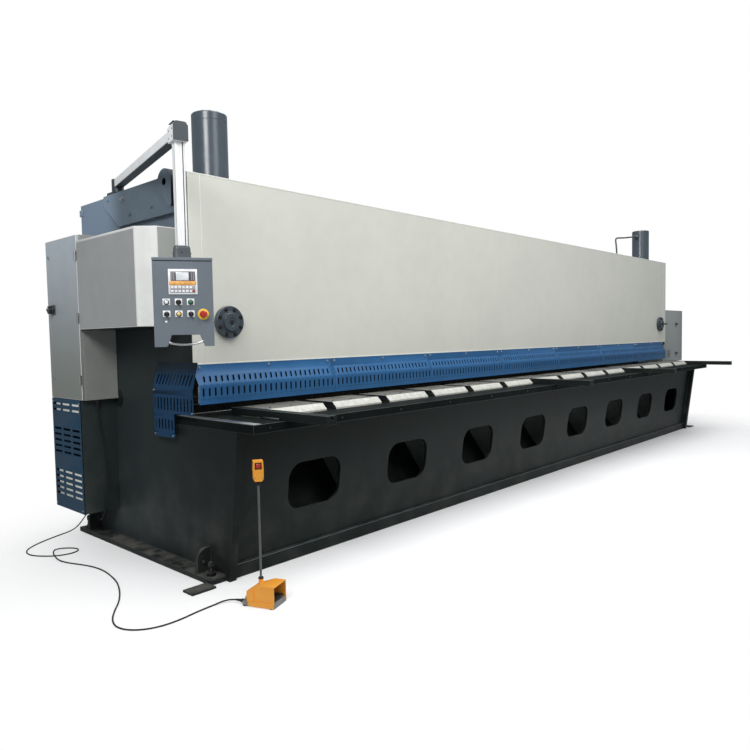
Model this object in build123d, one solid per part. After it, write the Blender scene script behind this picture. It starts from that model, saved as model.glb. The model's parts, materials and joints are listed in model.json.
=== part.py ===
from build123d import *
import math
import os

os.makedirs("parts", exist_ok=True)

# Frame of the model: millimetres, X along the machine, Y to the rear, Z up from the floor.
# The machine is drawn with X = 0 at mid-length and Y = 0 at the front of the bottom rail.
# Every node is then shifted so that the origin lies under the middle of the outer box.

# Main body
length = 8440.0
wall_t = 50.0
body_depth = 1840.0
wall_height = 2570.0
table_height = 1000.0
inner = length / 2 - wall_t

# Side walls (C-shaped plates that lean forward at the foot)
wall_foot_y = -25.0
wall_lean = 125.0
throat_top = table_height + 300.0
throat_back = 780.0
throat_floor = table_height - 140.0
throat_step_y = 545.0
jaw_slope_y = 450.0
jaw_slope_z0 = table_height + 880.0
jaw_slope_z1 = jaw_slope_z0 + 180.0
lug_r = 85.0
lug_hole_r = 24.0
lug_out = 34.0
lug_tail_r = 18.0
lug_tail_y = 462.0
lug_tail_drop = 150.0
lug_y = 525.0
lug_z = wall_height - 35.0

# Bottom rail and apron
rail_h = 87.0
rail_depth = 90.0
apron_t = 25.0
apron_foot_y = 22.0
apron_top_y = -88.0
window_count = 8
window_pitch = 1000.0
window_w = 480.0
window_h = 325.0
window_r = 110.0
window_z = 505.0

# Bed inside the body
bed_rib_t = 30.0
bed_back_y = 600.0
bed_back_t = 40.0
chute_t = 12.0
chute_top_z = throat_floor - 60.0
chute_foot_z = 190.0
chute_foot_y = 140.0

# Table
plate_t = 55.0
plate_front = -310.0
plate_rear = 530.0
block_bays = (6, 4, 4)
block_gap = 90.0
block_front = -85.0
block_rear = 246.0
block_t = 50.0
block_nose = 12.0
block_nose_run = 42.0
blade_t = 25.0
blade_h = 90.0
shear_gap = 2.0

# Front panel, hold-down beam and guard
panel_t = 12.0
panel_face = 300.0
panel_bottom = table_height + 343.0
panel_lip = 60.0
hold_beam_depth = 120.0
hold_beam_bottom = panel_bottom - 13.0
hold_beam_top = hold_beam_bottom + 470.0
presser_count = 22
presser_r = 36.0
presser_rod_r = 22.0
presser_len = 150.0
presser_foot_r = 34.0
presser_stroke = 65.0
presser_lift = 10.0
presser_head = 20.0
presser_rod_play = 10.0
presser_foot_h = 24.0
slide_fit = 0.5
guard_t = 3.0
guard_sections = 7
guard_top = panel_bottom
guard_band = 60.0
guard_bottom = table_height + 85.0
guard_out = 48.0
guard_bend = 72.0
guard_joint = 3.0
flange_r = 108.0
flange_t = 34.0
flange_z = panel_bottom + 275.0
flange_in = 271.0
flange_boss_r = 62.0
flange_boss_t = 16.0

# Cylinders
cyl_r = 122.0
cyl_in = 350.0
cyl_y = 560.0
cyl_seat_z = table_height + 1000.0
cyl_top = cyl_seat_z + 1070.0
cyl_seat_t = 60.0
cyl_seat_w = 620.0
cyl_seat_rear = 840.0
ram_r = 40.0
ram_gap = 6.0
ram_hold = 140.0
pipe_r = 11.0

# Swing beam
pivot_y = 1330.0
pivot_z = table_height + 80.0
pivot_r = 70.0
pivot_gap = 0.05
beam_front_y = 582.0
beam_plate_t = 60.0
beam_bottom = table_height + 180.0
beam_top = beam_bottom + 640.0
beam_pad_t = 34.0
beam_pad_w = 200.0
beam_end_gap = 12.0
beam_rib_count = 10
beam_rib_t = 50.0
beam_rib_depth = 130.0
beam_arm_up = 170.0
beam_arm_down = 60.0
beam_tube_wall = 42.0
beam_tube_fit = 0.3
beam_pad_front = 30.0

# Left cover, cabinets and guards on the walls
cover_out = 270.0
cover_front = 400.0
cover_top = wall_height - 348.0
cover_bottom = 1593.0
cover_nose = 100.0
cabinet_out = 270.0
cabinet_front = 1340.0
cabinet_rear = 1880.0
cabinet_top = wall_height - 300.0
cabinet_split = 1080.0
cabinet_foot = 240.0
unit_set_back = 45.0
gland_out = 150.0
gland_r = 10.0
gland_len = 26.0
door_t = 22.0
door_gap = 0.8
door_edge = 3.0
hinge_inset = 150.0
hinge_r = 9.0
hinge_h = 70.0
hinge_fit = 0.3
switch_r = 34.0
switch_y = 1775.0
switch_z = 1750.0
switch_disc_t = 24.0
switch_bar_t = 20.0
switch_bar_w = 16.0
right_box_w = 860.0
right_box_front = 330.0
right_box_depth = 400.0
right_box_z0 = table_height + 20.0
right_box_h = 820.0
side_guard_t = 3.0
side_guard_out = 45.0
side_guard_lap = 60.0
side_guard_inset = -48.0
side_guard_over = 10.0
side_guard_step = 25.0
side_flap_t = 12.0

# Arm bracket and pendant
arm_z = wall_height + 85.0
arm_w = 58.0
arm_h = 58.0
arm_run = 1414.0
arm_turn = 13.4
arm_pivot_y = 1280.0
arm_pivot_in = 30.0
post_r = 42.0
post_gap = 0.3
bracket_t = 30.0
bracket_gap = 1.0
bracket_h = 245.0
bracket_cut_y = 1170.0
bracket_rear = 1390.0
bracket_tail = 75.0
post_base_t = 16.0
post_base_lap = 10.0
elbow = 105.0
elbow_w = 84.0
drop_tube_w = 58.0
drop_tube_edge = 9.0
collar_r = 54.0
collar_z0 = 1962.0
collar_h = 68.0
box_w = 323.0
box_h = 495.0
box_d = 105.0
box_yaw = 32.0
box_notch_w = 190.0
box_notch_h = 66.0
bow_r = 7.0
bow_inset = 20.0
bow_lift = 26.0
screen_w = 152.0
screen_top = 62.0
screen_h = 138.0
screen_t = 6.0
control_columns = (-92.0, -27.0, 38.0)
control_rows = 2
control_down = 248.0
control_pitch = 66.0
control_r = 15.0
control_out = 22.0
stop_x = 105.0
stop_down = 316.0
stop_r = 19.0
stop_ring = 12.0
stop_ring_t = 6.0
stop_out = 34.0

# Feet
foot_out = 112.0
foot_t = 34.0
foot_front = 11.0
foot_rear = 1855.0
lug_t = 24.0
lug_h = 155.0
lug_inset = 160.0
lug_edge = 8.0
lug_round = 75.0
jack_r = 20.0
jack_h = 95.0
jack_off = 80.0
sole_reach = 165.0
sole_y = -45.0
sole_w = 105.0
sole_t = 14.0

# Support arms in front of the table
arm_bar_w = 70.0
arm_bar_h = 52.0
arm_bar_rear = 250.0
slot_w = 14.0
slot_throat_w = 26.0
slot_depth = 22.0
slot_lip = 12.0
support_arms = (
    (275.0 - length / 2, 687.0),
    (-547.0, 687.0),
    (1740.0, 687.0),
    (length / 2 - 151.0, 687.0),
)

# Foot switch
pedal_x = -length / 2 - 62.0
pedal_y = -448.0
pedal_yaw = 22.0
pedal_l = 205.0
pedal_w = 140.0
pedal_h = 124.0
pedal_wall = 4.0
pedal_base_h = 26.0
hood_flat = 70.0
hood_set = 30.0
hood_fall = 36.0
treadle_l = 102.0
treadle_t = 8.0
treadle_lift = 16.0
treadle_in = 8.0
treadle_side = 14.0
rest_side = 20.0
rest_in = 7.0
rest_t = 12.0
gland_in = 40.0
gland_low = 16.0
pedal_gland_r = 8.0
pole_r = 7.0
pole_dx = 32.0
pole_dy = 68.0
pole_top = 690.0
socket_h = 26.0
socket_lap = 4.0
stop_box_w = 62.0
stop_box_h = 118.0
push_r = 18.0
push_out = 24.0
push_z = 65.0

# Rear of the body
rear_beam_set = 20.0
rear_beam_w = 200.0
rear_beam_z = 120.0
rear_beam_h = 300.0
top_beam_w = 140.0
top_beam_z = wall_height - 320.0
top_beam_h = 200.0
tank_l = 1400.0
tank_w = 360.0
tank_h = 250.0
motor_r = 90.0
motor_l = 420.0
motor_foot_in = 60.0
gauge_bay = 1.5
gauge_arm_w = 80.0
gauge_arm_h = 60.0
gauge_y = 900.0
gauge_t = 60.0
gauge_rear = 1560.0
gauge_drop = 45.0
gauge_lift = 15.0
gauge_arm_gap = 10.0
pipe_z = cyl_top - 110.0
pipe_reach = 800.0
pipe_fall = 110.0
pipe_back = 40.0
pipe_block = 40.0
pipe_block_out = 26.0

# Control cord: from the cabinet down, over the rear lug, along the floor to the foot switch
cord_r = 4.5
cord_route = (
    (-4370, 1362.5, 1054),
    (-4370, 1362.5, 930),
    (-4355, 1354, 802),
    (-4340, 1348, 675),
    (-4331, 1346, 550),
    (-4333, 1348, 428),
    (-4340, 1352, 326),
    (-4345, 1372, 238),
    (-4340, 1430, 168),
    (-4320, 1520, 148),
    (-4294, 1608, 176),
    (-4272, 1675, 212),
    (-4262, 1748, 212),
    (-4270, 1822, 156),
    (-4292, 1880, 82),
    (-4332, 1906, 22),
    (-4396, 1888, 5),
    (-4500, 1846, 5),
    (-4610, 1796, 5),
    (-4715, 1735, 5),
    (-4800, 1660, 5),
    (-4838, 1570, 5),
    (-4828, 1480, 5),
    (-4780, 1402, 5),
    (-4716, 1340, 5),
    (-4640, 1314, 5),
    (-4572, 1332, 5),
    (-4546, 1388, 5),
    (-4574, 1446, 5),
    (-4636, 1474, 12),
    (-4703, 1432, 24),
    (-4745, 1330, 24),
    (-4754, 1228, 8),
    (-4728, 1120, 5),
    (-4680, 1010, 5),
    (-4646, 890, 5),
    (-4640, 765, 5),
    (-4656, 640, 5),
    (-4680, 520, 5),
    (-4722, 405, 5),
    (-4772, 295, 5),
    (-4832, 190, 5),
    (-4906, 92, 5),
    (-4966, -6, 5),
    (-4996, -106, 5),
    (-4976, -190, 5),
    (-4914, -256, 5),
    (-4822, -290, 5),
    (-4712, -288, 5),
    (-4600, -268, 5),
    (-4500, -260, 5),
    (-4428, -266, 12),
    (-4385.955, -297.480, 16),
    (-4367.225, -343.839, 16),
)

parts = {}


def keep(name, *solids):
    """Store the solids of one node, in the drawing's own frame."""
    parts[name] = Part() + list(solids)


def block(x0, x1, y0, y1, z0, z1):
    """A box between two opposite corners."""
    centre = Pos((x0 + x1) / 2, (y0 + y1) / 2, (z0 + z1) / 2)
    return centre * Box(abs(x1 - x0), abs(y1 - y0), abs(z1 - z0))


def slab_yz(points, x0, x1):
    """A flat outline in Y and Z, carried from x0 to x1."""
    low = min(x0, x1)
    face = make_face(Plane.YZ * Polyline(*points, close=True))
    return Pos(low, 0, 0) * extrude(face, abs(x1 - x0), dir=(1, 0, 0))


def slab_xy(points, z0, z1):
    """A flat outline in X and Y, carried from z0 to z1."""
    face = make_face(Polyline(*points, close=True))
    return Pos(0, 0, z0) * extrude(face, z1 - z0, dir=(0, 0, 1))


def bar_x(y, z, radius, x0, x1):
    """A round bar along X."""
    return Pos((x0 + x1) / 2, y, z) * Rot(0, 90, 0) * Cylinder(radius, abs(x1 - x0))


def bar_y(x, z, radius, y0, y1):
    """A round bar along Y."""
    return Pos(x, (y0 + y1) / 2, z) * Rot(90, 0, 0) * Cylinder(radius, abs(y1 - y0))


def bar_z(x, y, radius, z0, z1):
    """A round bar along Z."""
    return Pos(x, y, (z0 + z1) / 2) * Cylinder(radius, z1 - z0)


def wall_front(z):
    """Y of the leaning front edge of a side wall at a height."""
    return wall_foot_y - wall_lean * z / table_height


def apron_y(z):
    """Y of the apron's outer face at a height."""
    rise = (z - rail_h) / (table_height - plate_t - rail_h)
    return apron_foot_y + (apron_top_y - apron_foot_y) * rise


jaw_front = panel_face + panel_t
plate_z0 = table_height - plate_t


def lug_plate(x0, x1, grow):
    """Lifting lug: the hull of its round head and its narrow tail, made larger by grow."""
    head = Pos(lug_y, lug_z) * Circle(lug_r + grow)
    tail = Pos(lug_tail_y, lug_z - lug_tail_drop) * Circle(lug_tail_r + grow)
    face = make_face(make_hull(head.edges() + tail.edges()))
    low = min(x0, x1)
    return Pos(low, 0, 0) * extrude(Plane.YZ * face, abs(x1 - x0), dir=(1, 0, 0))


def side_wall(side):
    """C-shaped wall plate with the throat, the lifting eye and the bore of the pivot."""
    outer = side * length / 2
    inside = side * inner
    outline = [
        (wall_front(0), 0),
        (wall_front(plate_z0), plate_z0),
        (throat_step_y, plate_z0),
        (throat_step_y, throat_floor),
        (throat_back, throat_floor),
        (throat_back, throat_top),
        (jaw_front, throat_top),
        (jaw_front, jaw_slope_z0),
        (jaw_slope_y, jaw_slope_z1),
        (jaw_slope_y, wall_height),
        (body_depth, wall_height),
        (body_depth, 0),
    ]
    wall = slab_yz(outline, inside, outer)
    wall += bar_x(lug_y, lug_z, lug_r, inside, outer)
    wall += lug_plate(outer, outer + side * lug_out, 0)
    wall -= bar_x(lug_y, lug_z, lug_hole_r, inside, outer + side * lug_out)
    return wall - bar_x(pivot_y, pivot_z, pivot_r + pivot_gap, inside, outer)


def window_x(index):
    """X of the middle of one apron window."""
    return (index - (window_count - 1) / 2) * window_pitch


def make_apron():
    """Leaning front plate with a row of round-cornered windows."""
    top = plate_z0
    outline = [
        (apron_y(rail_h), rail_h),
        (apron_y(top), top),
        (apron_y(top) + apron_t, top),
        (apron_y(rail_h) + apron_t, rail_h),
    ]
    plate = slab_yz(outline, -inner, inner)
    hole = extrude(Plane.XZ * RectangleRounded(window_w, window_h, window_r), 4 * rail_depth, both=True)
    for index in range(window_count):
        plate -= Pos(window_x(index), 0, window_z) * hole
    return plate


def make_bed():
    """Bottom rail, cross ribs between the windows, back plate and scrap chute."""
    keep("front_rail", block(-inner, inner, 0, rail_depth, 0, rail_h))
    keep("apron", make_apron())
    ribs = []
    foot = apron_y(rail_h) + apron_t
    top = apron_y(plate_z0) + apron_t
    for index in range(window_count - 1):
        x = (window_x(index) + window_x(index + 1)) / 2
        outline = [
            (foot, rail_h),
            (top, plate_z0),
            (plate_rear, plate_z0),
            (plate_rear, throat_floor),
            (bed_back_y, throat_floor),
            (bed_back_y, rail_h),
        ]
        ribs.append(slab_yz(outline, x - bed_rib_t / 2, x + bed_rib_t / 2))
    keep("bed_ribs", *ribs)
    back = block(-inner, inner, bed_back_y, bed_back_y + bed_back_t, 0, throat_floor)
    keep("bed_back", back)
    bays = []
    edges = [-inner] + [(window_x(i) + window_x(i + 1)) / 2 for i in range(window_count - 1)] + [inner]
    for index in range(window_count):
        half = bed_rib_t / 2
        x0 = edges[index] + (half if index else 0)
        x1 = edges[index + 1] - (half if index < window_count - 1 else 0)
        outline = [
            (bed_back_y, chute_top_z),
            (bed_back_y, chute_top_z - chute_t),
            (chute_foot_y, chute_foot_z),
            (chute_foot_y, chute_foot_z + chute_t),
        ]
        bays.append(slab_yz(outline, x0, x1))
    keep("scrap_chutes", *bays)


def make_table():
    """Table plate, white support blocks with sloped noses, and the fixed lower blade."""
    keep("table_plate", block(-length / 2, length / 2, plate_front, plate_rear, plate_z0, table_height))
    blade_y = plate_rear
    blade = block(-inner, inner, blade_y, blade_y + blade_t, table_height - blade_h, table_height)
    keep("lower_blade", blade)
    blocks = []
    for bay, count in enumerate(block_bays):
        start = support_arms[bay][0]
        step = (support_arms[bay + 1][0] - start) / count
        for index in range(count):
            x0 = start + index * step + block_gap / 2
            x1 = start + (index + 1) * step - block_gap / 2
            blocks.append(table_block(x0, x1))
    keep("table_blocks", *blocks)


def table_block(x0, x1):
    """One support block: flat top and a nose that slopes down to the front."""
    top = table_height + block_t
    outline = [
        (block_front, table_height),
        (block_front, table_height + block_nose),
        (block_front + block_nose_run, top),
        (block_rear, top),
        (block_rear, table_height),
    ]
    return slab_yz(outline, x0, x1)


def support_arm(x, reach):
    """A square arm bolted across the table, with a T-slot along its top."""
    top = table_height + arm_bar_h
    bar = block(x - arm_bar_w / 2, x + arm_bar_w / 2, -reach, arm_bar_rear, table_height, top)
    slot = block(x - slot_w / 2, x + slot_w / 2, -reach, arm_bar_rear, top - slot_depth, top)
    half = slot_throat_w / 2
    throat = block(x - half, x + half, -reach, arm_bar_rear, top - slot_depth, top - slot_lip)
    return bar - slot - throat


def make_front():
    """Front panel with its end bars, hold-down beam with its pressers, and the flange covers."""
    half = length / 2
    panel = block(-half, half, panel_face, panel_face + panel_t, panel_bottom, wall_height)
    keep("front_panel", panel)
    bars = []
    for side in (-1, 1):
        x0 = side * half
        x1 = x0 - side * panel_t
        bars.append(block(x0, x1, jaw_front, jaw_front + panel_lip, jaw_slope_z1, wall_height))
    rear = jaw_front + hold_beam_depth
    keep("hold_down_beam", block(-inner, inner, jaw_front, rear, hold_beam_bottom, hold_beam_top))
    stiffeners = []
    for index in range(1, window_count):
        x = -inner + index * 2 * inner / window_count
        outline = [
            (jaw_front, hold_beam_top),
            (jaw_front, wall_height - panel_lip),
            (jaw_front + panel_lip, wall_height - panel_lip),
            (rear, hold_beam_top),
        ]
        stiffeners.append(slab_yz(outline, x - panel_t / 2, x + panel_t / 2))
    keep("panel_stiffeners", *bars, *stiffeners)
    flanges = []
    for side in (-1, 1):
        x = side * (half - flange_in)
        flange = bar_y(x, flange_z, flange_r, panel_face - flange_t, panel_face)
        boss_y = panel_face - flange_t
        flange += bar_y(x, flange_z, flange_boss_r, boss_y - flange_boss_t, boss_y)
        flanges.append(flange)
    keep("flange_covers", *flanges)


def presser_x(index):
    """X of one hold-down presser."""
    return (index - (presser_count - 1) / 2) * 2 * inner / presser_count


def make_pressers():
    """Hold-down cylinders under the beam and, below them, the sprung feet that move."""
    y = jaw_front + hold_beam_depth / 2
    low = hold_beam_bottom - presser_len
    barrels = []
    feet = []
    for index in range(presser_count):
        x = presser_x(index)
        barrel = bar_z(x, y, presser_r, low, hold_beam_bottom)
        barrels.append(barrel - bar_z(x, y, presser_rod_r + slide_fit, low, hold_beam_bottom - presser_head))
        rod_top = hold_beam_bottom - presser_head - presser_rod_play
        rod_low = table_height + presser_lift + presser_stroke
        rod = bar_z(x, y, presser_rod_r, rod_low, rod_top)
        feet.append(rod + bar_z(x, y, presser_foot_r, rod_low, rod_low + presser_foot_h))
    keep("presser_barrels", *barrels)
    keep("presser_feet", *feet)


def guard_profile():
    """Outline in Y and Z of the folded guard sheet, front face first."""
    out = panel_face - guard_out
    band = guard_top - guard_band
    bend = band - guard_bend
    return [
        (panel_face - guard_t, guard_top),
        (panel_face - guard_t, band),
        (out - guard_t, bend),
        (out - guard_t, guard_bottom),
        (out, guard_bottom),
        (out, bend),
        (panel_face, band),
        (panel_face, guard_top),
    ]


def make_guards():
    """Folded blade guard in sections, and the guard over the throat of each wall."""
    step = length / guard_sections
    sections = []
    for index in range(guard_sections):
        x0 = -length / 2 + index * step + guard_joint / 2
        sections.append(slab_yz(guard_profile(), x0, x0 + step - guard_joint))
    keep("blade_guard", *sections)
    keep("throat_guard", throat_guard(-1))


def throat_guard(side):
    """Sheet over the throat, folded off the wall at its top and stepped round the table."""
    outer = side * length / 2
    out = outer + side * side_guard_out
    top = throat_top + side_guard_lap
    fold = throat_top - side_guard_lap
    front = panel_face + side_guard_inset
    rear = throat_back + side_guard_over
    low = throat_floor - side_guard_step
    step = table_height + side_guard_step
    sheet = [
        (front, step),
        (front, fold),
        (rear, fold),
        (rear, low),
        (throat_step_y, low),
        (throat_step_y, step),
    ]
    face = slab_yz(sheet, out, out - side * side_guard_t)
    flap = [(outer, top), (out, fold), (out - side * side_guard_t, fold), (outer, top - side_flap_t)]
    wedge = extrude(make_face(Plane.XZ * Polyline(*flap, close=True)), rear - front, dir=(0, 1, 0))
    return face + Pos(0, front, 0) * wedge


def make_cylinders():
    """Beam cylinders on their seats, with the rams that push the swing beam."""
    seats = []
    barrels = []
    rams = []
    for side in (-1, 1):
        x = side * (length / 2 - cyl_in)
        seat_top = cyl_seat_z + cyl_seat_t
        barrel = bar_z(x, cyl_y, cyl_r, seat_top, cyl_top)
        barrel -= bar_z(x, cyl_y, ram_r + slide_fit, seat_top, seat_top + 2 * ram_hold)
        barrels.append(barrel)
        near = side * (inner - cyl_seat_w)
        seat = block(side * inner, near, jaw_slope_y, cyl_seat_rear, cyl_seat_z, seat_top)
        seats.append(seat - bar_z(x, cyl_y, ram_r + slide_fit, cyl_seat_z, seat_top))
        tip = beam_top + beam_pad_t + ram_gap
        ram = bar_z(x, cyl_y, ram_r, tip + ram_r, seat_top + ram_hold)
        rams.append(ram + Pos(x, cyl_y, tip + ram_r) * Sphere(ram_r))
    keep("beam_cylinders", *barrels)
    keep("rams", *rams)
    keep("cylinder_seats", *seats)


def make_swing_beam():
    """Knife beam that swings on two pivots, with ribs, end arms and the moving blade."""
    reach = inner - beam_end_gap
    front = beam_front_y
    back = front + beam_plate_t
    beam = block(-reach, reach, front, back, beam_bottom, beam_top)
    tube_r = pivot_r + beam_tube_wall
    rib = [
        (back, beam_bottom),
        (back, beam_top),
        (back + beam_rib_depth, beam_top),
        (pivot_y, pivot_z + beam_arm_up),
        (pivot_y, pivot_z + beam_arm_down),
    ]
    ribs = []
    recess = bar_x(pivot_y, pivot_z, tube_r + beam_tube_fit, -reach, reach)
    for index in range(beam_rib_count):
        x = -reach + beam_rib_t / 2 + index * (2 * reach - beam_rib_t) / (beam_rib_count - 1)
        ribs.append(slab_yz(rib, x - beam_rib_t / 2, x + beam_rib_t / 2) - recess)
    keep("swing_ribs", *ribs)
    tube = bar_x(pivot_y, pivot_z, tube_r, -reach, reach)
    keep("pivot_tube", tube + bar_x(pivot_y, pivot_z, pivot_r, -length / 2, length / 2))
    for side in (-1, 1):
        x = side * (length / 2 - cyl_in)
        low = front - beam_pad_front
        high = back + beam_rib_depth
        half = beam_pad_w / 2
        beam += block(x - half, x + half, low, high, beam_top, beam_top + beam_pad_t)
    keep("swing_beam", beam)
    blade_low = table_height + blade_h
    blade_y = plate_rear + blade_t + shear_gap
    keep("upper_blade", block(-reach, reach, blade_y, front, blade_low, blade_low + 2 * blade_h))


def make_left_boxes():
    """Hydraulics cover, electrical cabinet with its door and switch, louvred lower unit."""
    wall = -length / 2
    out = wall - cover_out
    outline = [
        (wall, cover_front),
        (out + cover_nose, cover_front),
        (out, cover_front + cover_nose),
        (out, cabinet_front),
        (wall, cabinet_front),
    ]
    keep("side_cover", slab_xy(outline, cover_bottom, cover_top))
    out = wall - cabinet_out
    body = block(out + door_t, wall, cabinet_front, cabinet_rear, cabinet_split, cabinet_top)
    keep("cabinet", body)
    door_y0 = cabinet_front + hinge_fit
    low = cabinet_split + door_edge
    high = cabinet_top - door_edge
    door = block(out, out + door_t - door_gap, door_y0, cabinet_rear - door_edge, low, high)
    keep("cabinet_door", door)
    barrels = []
    for z in (cabinet_split + hinge_inset, (cabinet_split + cabinet_top) / 2, cabinet_top - hinge_inset):
        barrels.append(bar_z(out - hinge_r - hinge_fit, door_y0, hinge_r, z - hinge_h / 2, z + hinge_h / 2))
    keep("door_hinges", *barrels)
    face = out - hinge_fit
    front = face - switch_disc_t
    knob = bar_x(switch_y, switch_z, switch_r, front, face)
    half = switch_bar_w / 2
    low = switch_z - switch_r
    high = switch_z + switch_r
    knob += block(front - switch_bar_t, front, switch_y - half, switch_y + half, low, high)
    keep("main_switch", knob)
    front = cabinet_front + unit_set_back
    keep("lower_unit", block(out, wall, front, cabinet_rear, cabinet_foot, cabinet_split))
    gland_y = cabinet_front + unit_set_back / 2
    return bar_z(wall - gland_out, gland_y, gland_r, cabinet_split - gland_len, cabinet_split)


def make_right_box():
    """Grey two-door cabinet on the outside of the right wall."""
    x0 = length / 2
    x1 = x0 + right_box_w
    rear = right_box_front + right_box_depth
    keep("right_cabinet", block(x0, x1, right_box_front, rear, right_box_z0, right_box_z0 + right_box_h))


def on_arm(distance, across=0.0):
    """X and Y of a point at a distance along the pendant arm."""
    turn = math.radians(arm_turn)
    x = -length / 2 + arm_pivot_in - distance * math.sin(turn) + across * math.cos(turn)
    y = arm_pivot_y - distance * math.cos(turn) - across * math.sin(turn)
    return x, y


def make_pendant():
    """Wall bracket, pivoting arm with its drop tube, and the control box that swivels on it."""
    wall = -length / 2
    z0 = wall_height - bracket_h
    outline = [
        (jaw_slope_y, z0),
        (bracket_cut_y, z0),
        (bracket_rear, wall_height - bracket_tail),
        (bracket_rear, wall_height),
        (jaw_slope_y, wall_height),
    ]
    plate = slab_yz(outline, wall, wall - bracket_t)
    keep("arm_bracket", plate - lug_plate(wall, wall - bracket_t, bracket_gap))
    x, y = on_arm(0)
    low = arm_z - arm_h / 2
    half = post_r + post_base_lap
    base_top = wall_height + post_base_t
    base = block(wall - bracket_t, wall + wall_t, y - half, y + half, wall_height, base_top)
    keep("arm_post", base + bar_z(x, y, post_r, base_top, low - post_gap))
    turn = Pos(x, y, arm_z) * Rot(0, 0, -arm_turn)
    arm = turn * Pos(0, (elbow / 2 - arm_run) / 2, 0) * Box(arm_w, arm_run - elbow / 2, arm_h)
    arm += bar_z(x, y, post_r, low, arm_z + arm_h / 2)
    ex, ey = on_arm(arm_run)
    arm += Pos(ex, ey, arm_z) * Rot(0, 0, -arm_turn) * Box(elbow_w, elbow, elbow)
    keep("pendant_arm", arm)
    collar_top = collar_z0 + collar_h
    tube_z0 = collar_top + post_gap
    tube_z1 = arm_z - elbow / 2
    tube = Box(drop_tube_w, drop_tube_w, tube_z1 - tube_z0)
    tube = fillet(tube.edges().filter_by(Axis.Z), drop_tube_edge)
    keep("drop_tube", Pos(ex, ey, (tube_z0 + tube_z1) / 2) * Rot(0, 0, -arm_turn) * tube)
    place = Pos(ex, ey, 0) * Rot(0, 0, -box_yaw)
    keep("pendant_collar", bar_z(ex, ey, collar_r, collar_z0, collar_top))
    z1 = collar_z0
    shell = block(-box_w / 2, box_w / 2, -box_d / 2, box_d / 2, z1 - box_h, z1)
    shell -= block(-box_notch_w / 2, box_notch_w / 2, -box_d, box_d, z1 - box_h, z1 - box_h + box_notch_h)
    keep("pendant_box", place * shell)
    handle = bar_x(bow_inset - box_d / 2, z1 - box_h + bow_lift, bow_r, -box_notch_w / 2, box_notch_w / 2)
    keep("pendant_handle", place * handle)
    face = -box_d / 2
    screen_z = z1 - screen_top
    screen = block(-screen_w / 2, screen_w / 2, face - screen_t, face, screen_z - screen_h, screen_z)
    keep("pendant_screen", place * screen)
    controls = []
    for row in range(control_rows):
        z = z1 - control_down - row * control_pitch
        for x in control_columns:
            controls.append(place * bar_y(x, z, control_r, face - control_out, face))
    keep("pendant_controls", *controls)
    stop = place * bar_y(stop_x, z1 - stop_down, stop_r + stop_ring, face - stop_ring_t, face)
    stop += place * bar_y(stop_x, z1 - stop_down, stop_r, face - stop_out, face - stop_ring_t)
    keep("pendant_stop", stop)


def make_feet():
    """Foot flanges with their lugs and levelling bolts, and the sole bars under the corners."""
    feet = []
    bolts = []
    for side in (-1, 1):
        wall = side * length / 2
        out = wall + side * foot_out
        foot = block(wall, out, foot_front, foot_rear, 0, foot_t)
        for y in (foot_front + lug_inset, foot_rear - lug_inset):
            edge = out - side * lug_edge
            gusset = block(wall, edge, y, y + lug_t, foot_t, foot_t + lug_h)
            corner = gusset.edges().filter_by(Axis.Y).group_by(Axis.Z)[-1].sort_by(Axis.X)
            foot += fillet(corner[0] if side < 0 else corner[-1], lug_round)
        feet.append(foot)
        for y in (foot_front + lug_inset - jack_off, foot_rear - lug_inset + lug_t + jack_off):
            bolts.append(bar_z(wall + side * foot_out / 2, y, jack_r, foot_t, foot_t + jack_h))
    keep("feet", *feet)
    keep("jack_bolts", *bolts)
    bars = []
    for side in (-1, 1):
        x = side * (length / 2 + foot_out)
        bars.append(block(x, x + side * sole_reach, sole_y, sole_y + sole_w, 0, sole_t))
    keep("sole_bars", *bars)


def make_rear():
    """Cross beams between the walls at the back, oil tank with its motor, and the back gauge."""
    rear = body_depth - rear_beam_set
    low = block(-inner, inner, rear - rear_beam_w, rear, rear_beam_z, rear_beam_z + rear_beam_h)
    front = body_depth - rear_beam_set - top_beam_w
    high = block(-inner, inner, front, front + top_beam_w, top_beam_z, top_beam_z + top_beam_h)
    keep("rear_beams", low, high)
    tank = block(-tank_l / 2, tank_l / 2, front - tank_w, front, top_beam_z, top_beam_z + tank_h)
    y = front - tank_w / 2
    z = top_beam_z + tank_h
    motor = bar_x(y, z + motor_r, motor_r, 0, motor_l)
    motor += block(motor_foot_in, motor_l - motor_foot_in, y - motor_r, y + motor_r, z, z + motor_r / 2)
    keep("oil_tank", tank + motor)


def make_back_gauge():
    """Back gauge: two arms bolted to the swing beam and the stop beam that hangs from them."""
    front = beam_front_y + beam_plate_t
    half = gauge_arm_w / 2
    last = inner - beam_end_gap - beam_rib_t / 2
    middle = last * (1 - 2 * gauge_bay / (beam_rib_count - 1))
    low = pivot_z + pivot_r + beam_tube_wall + gauge_arm_gap
    top = beam_bottom - gauge_drop
    reach = middle + half
    gauge = block(-reach, reach, gauge_y, gauge_y + gauge_t, table_height + gauge_lift, top)
    for side in (-1, 1):
        x = side * middle
        gauge += block(x - half, x + half, front, gauge_rear, low, low + gauge_arm_h)
        gauge += block(x - half, x + half, gauge_y, gauge_y + gauge_t, top, low)
    keep("back_gauge", gauge)


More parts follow.
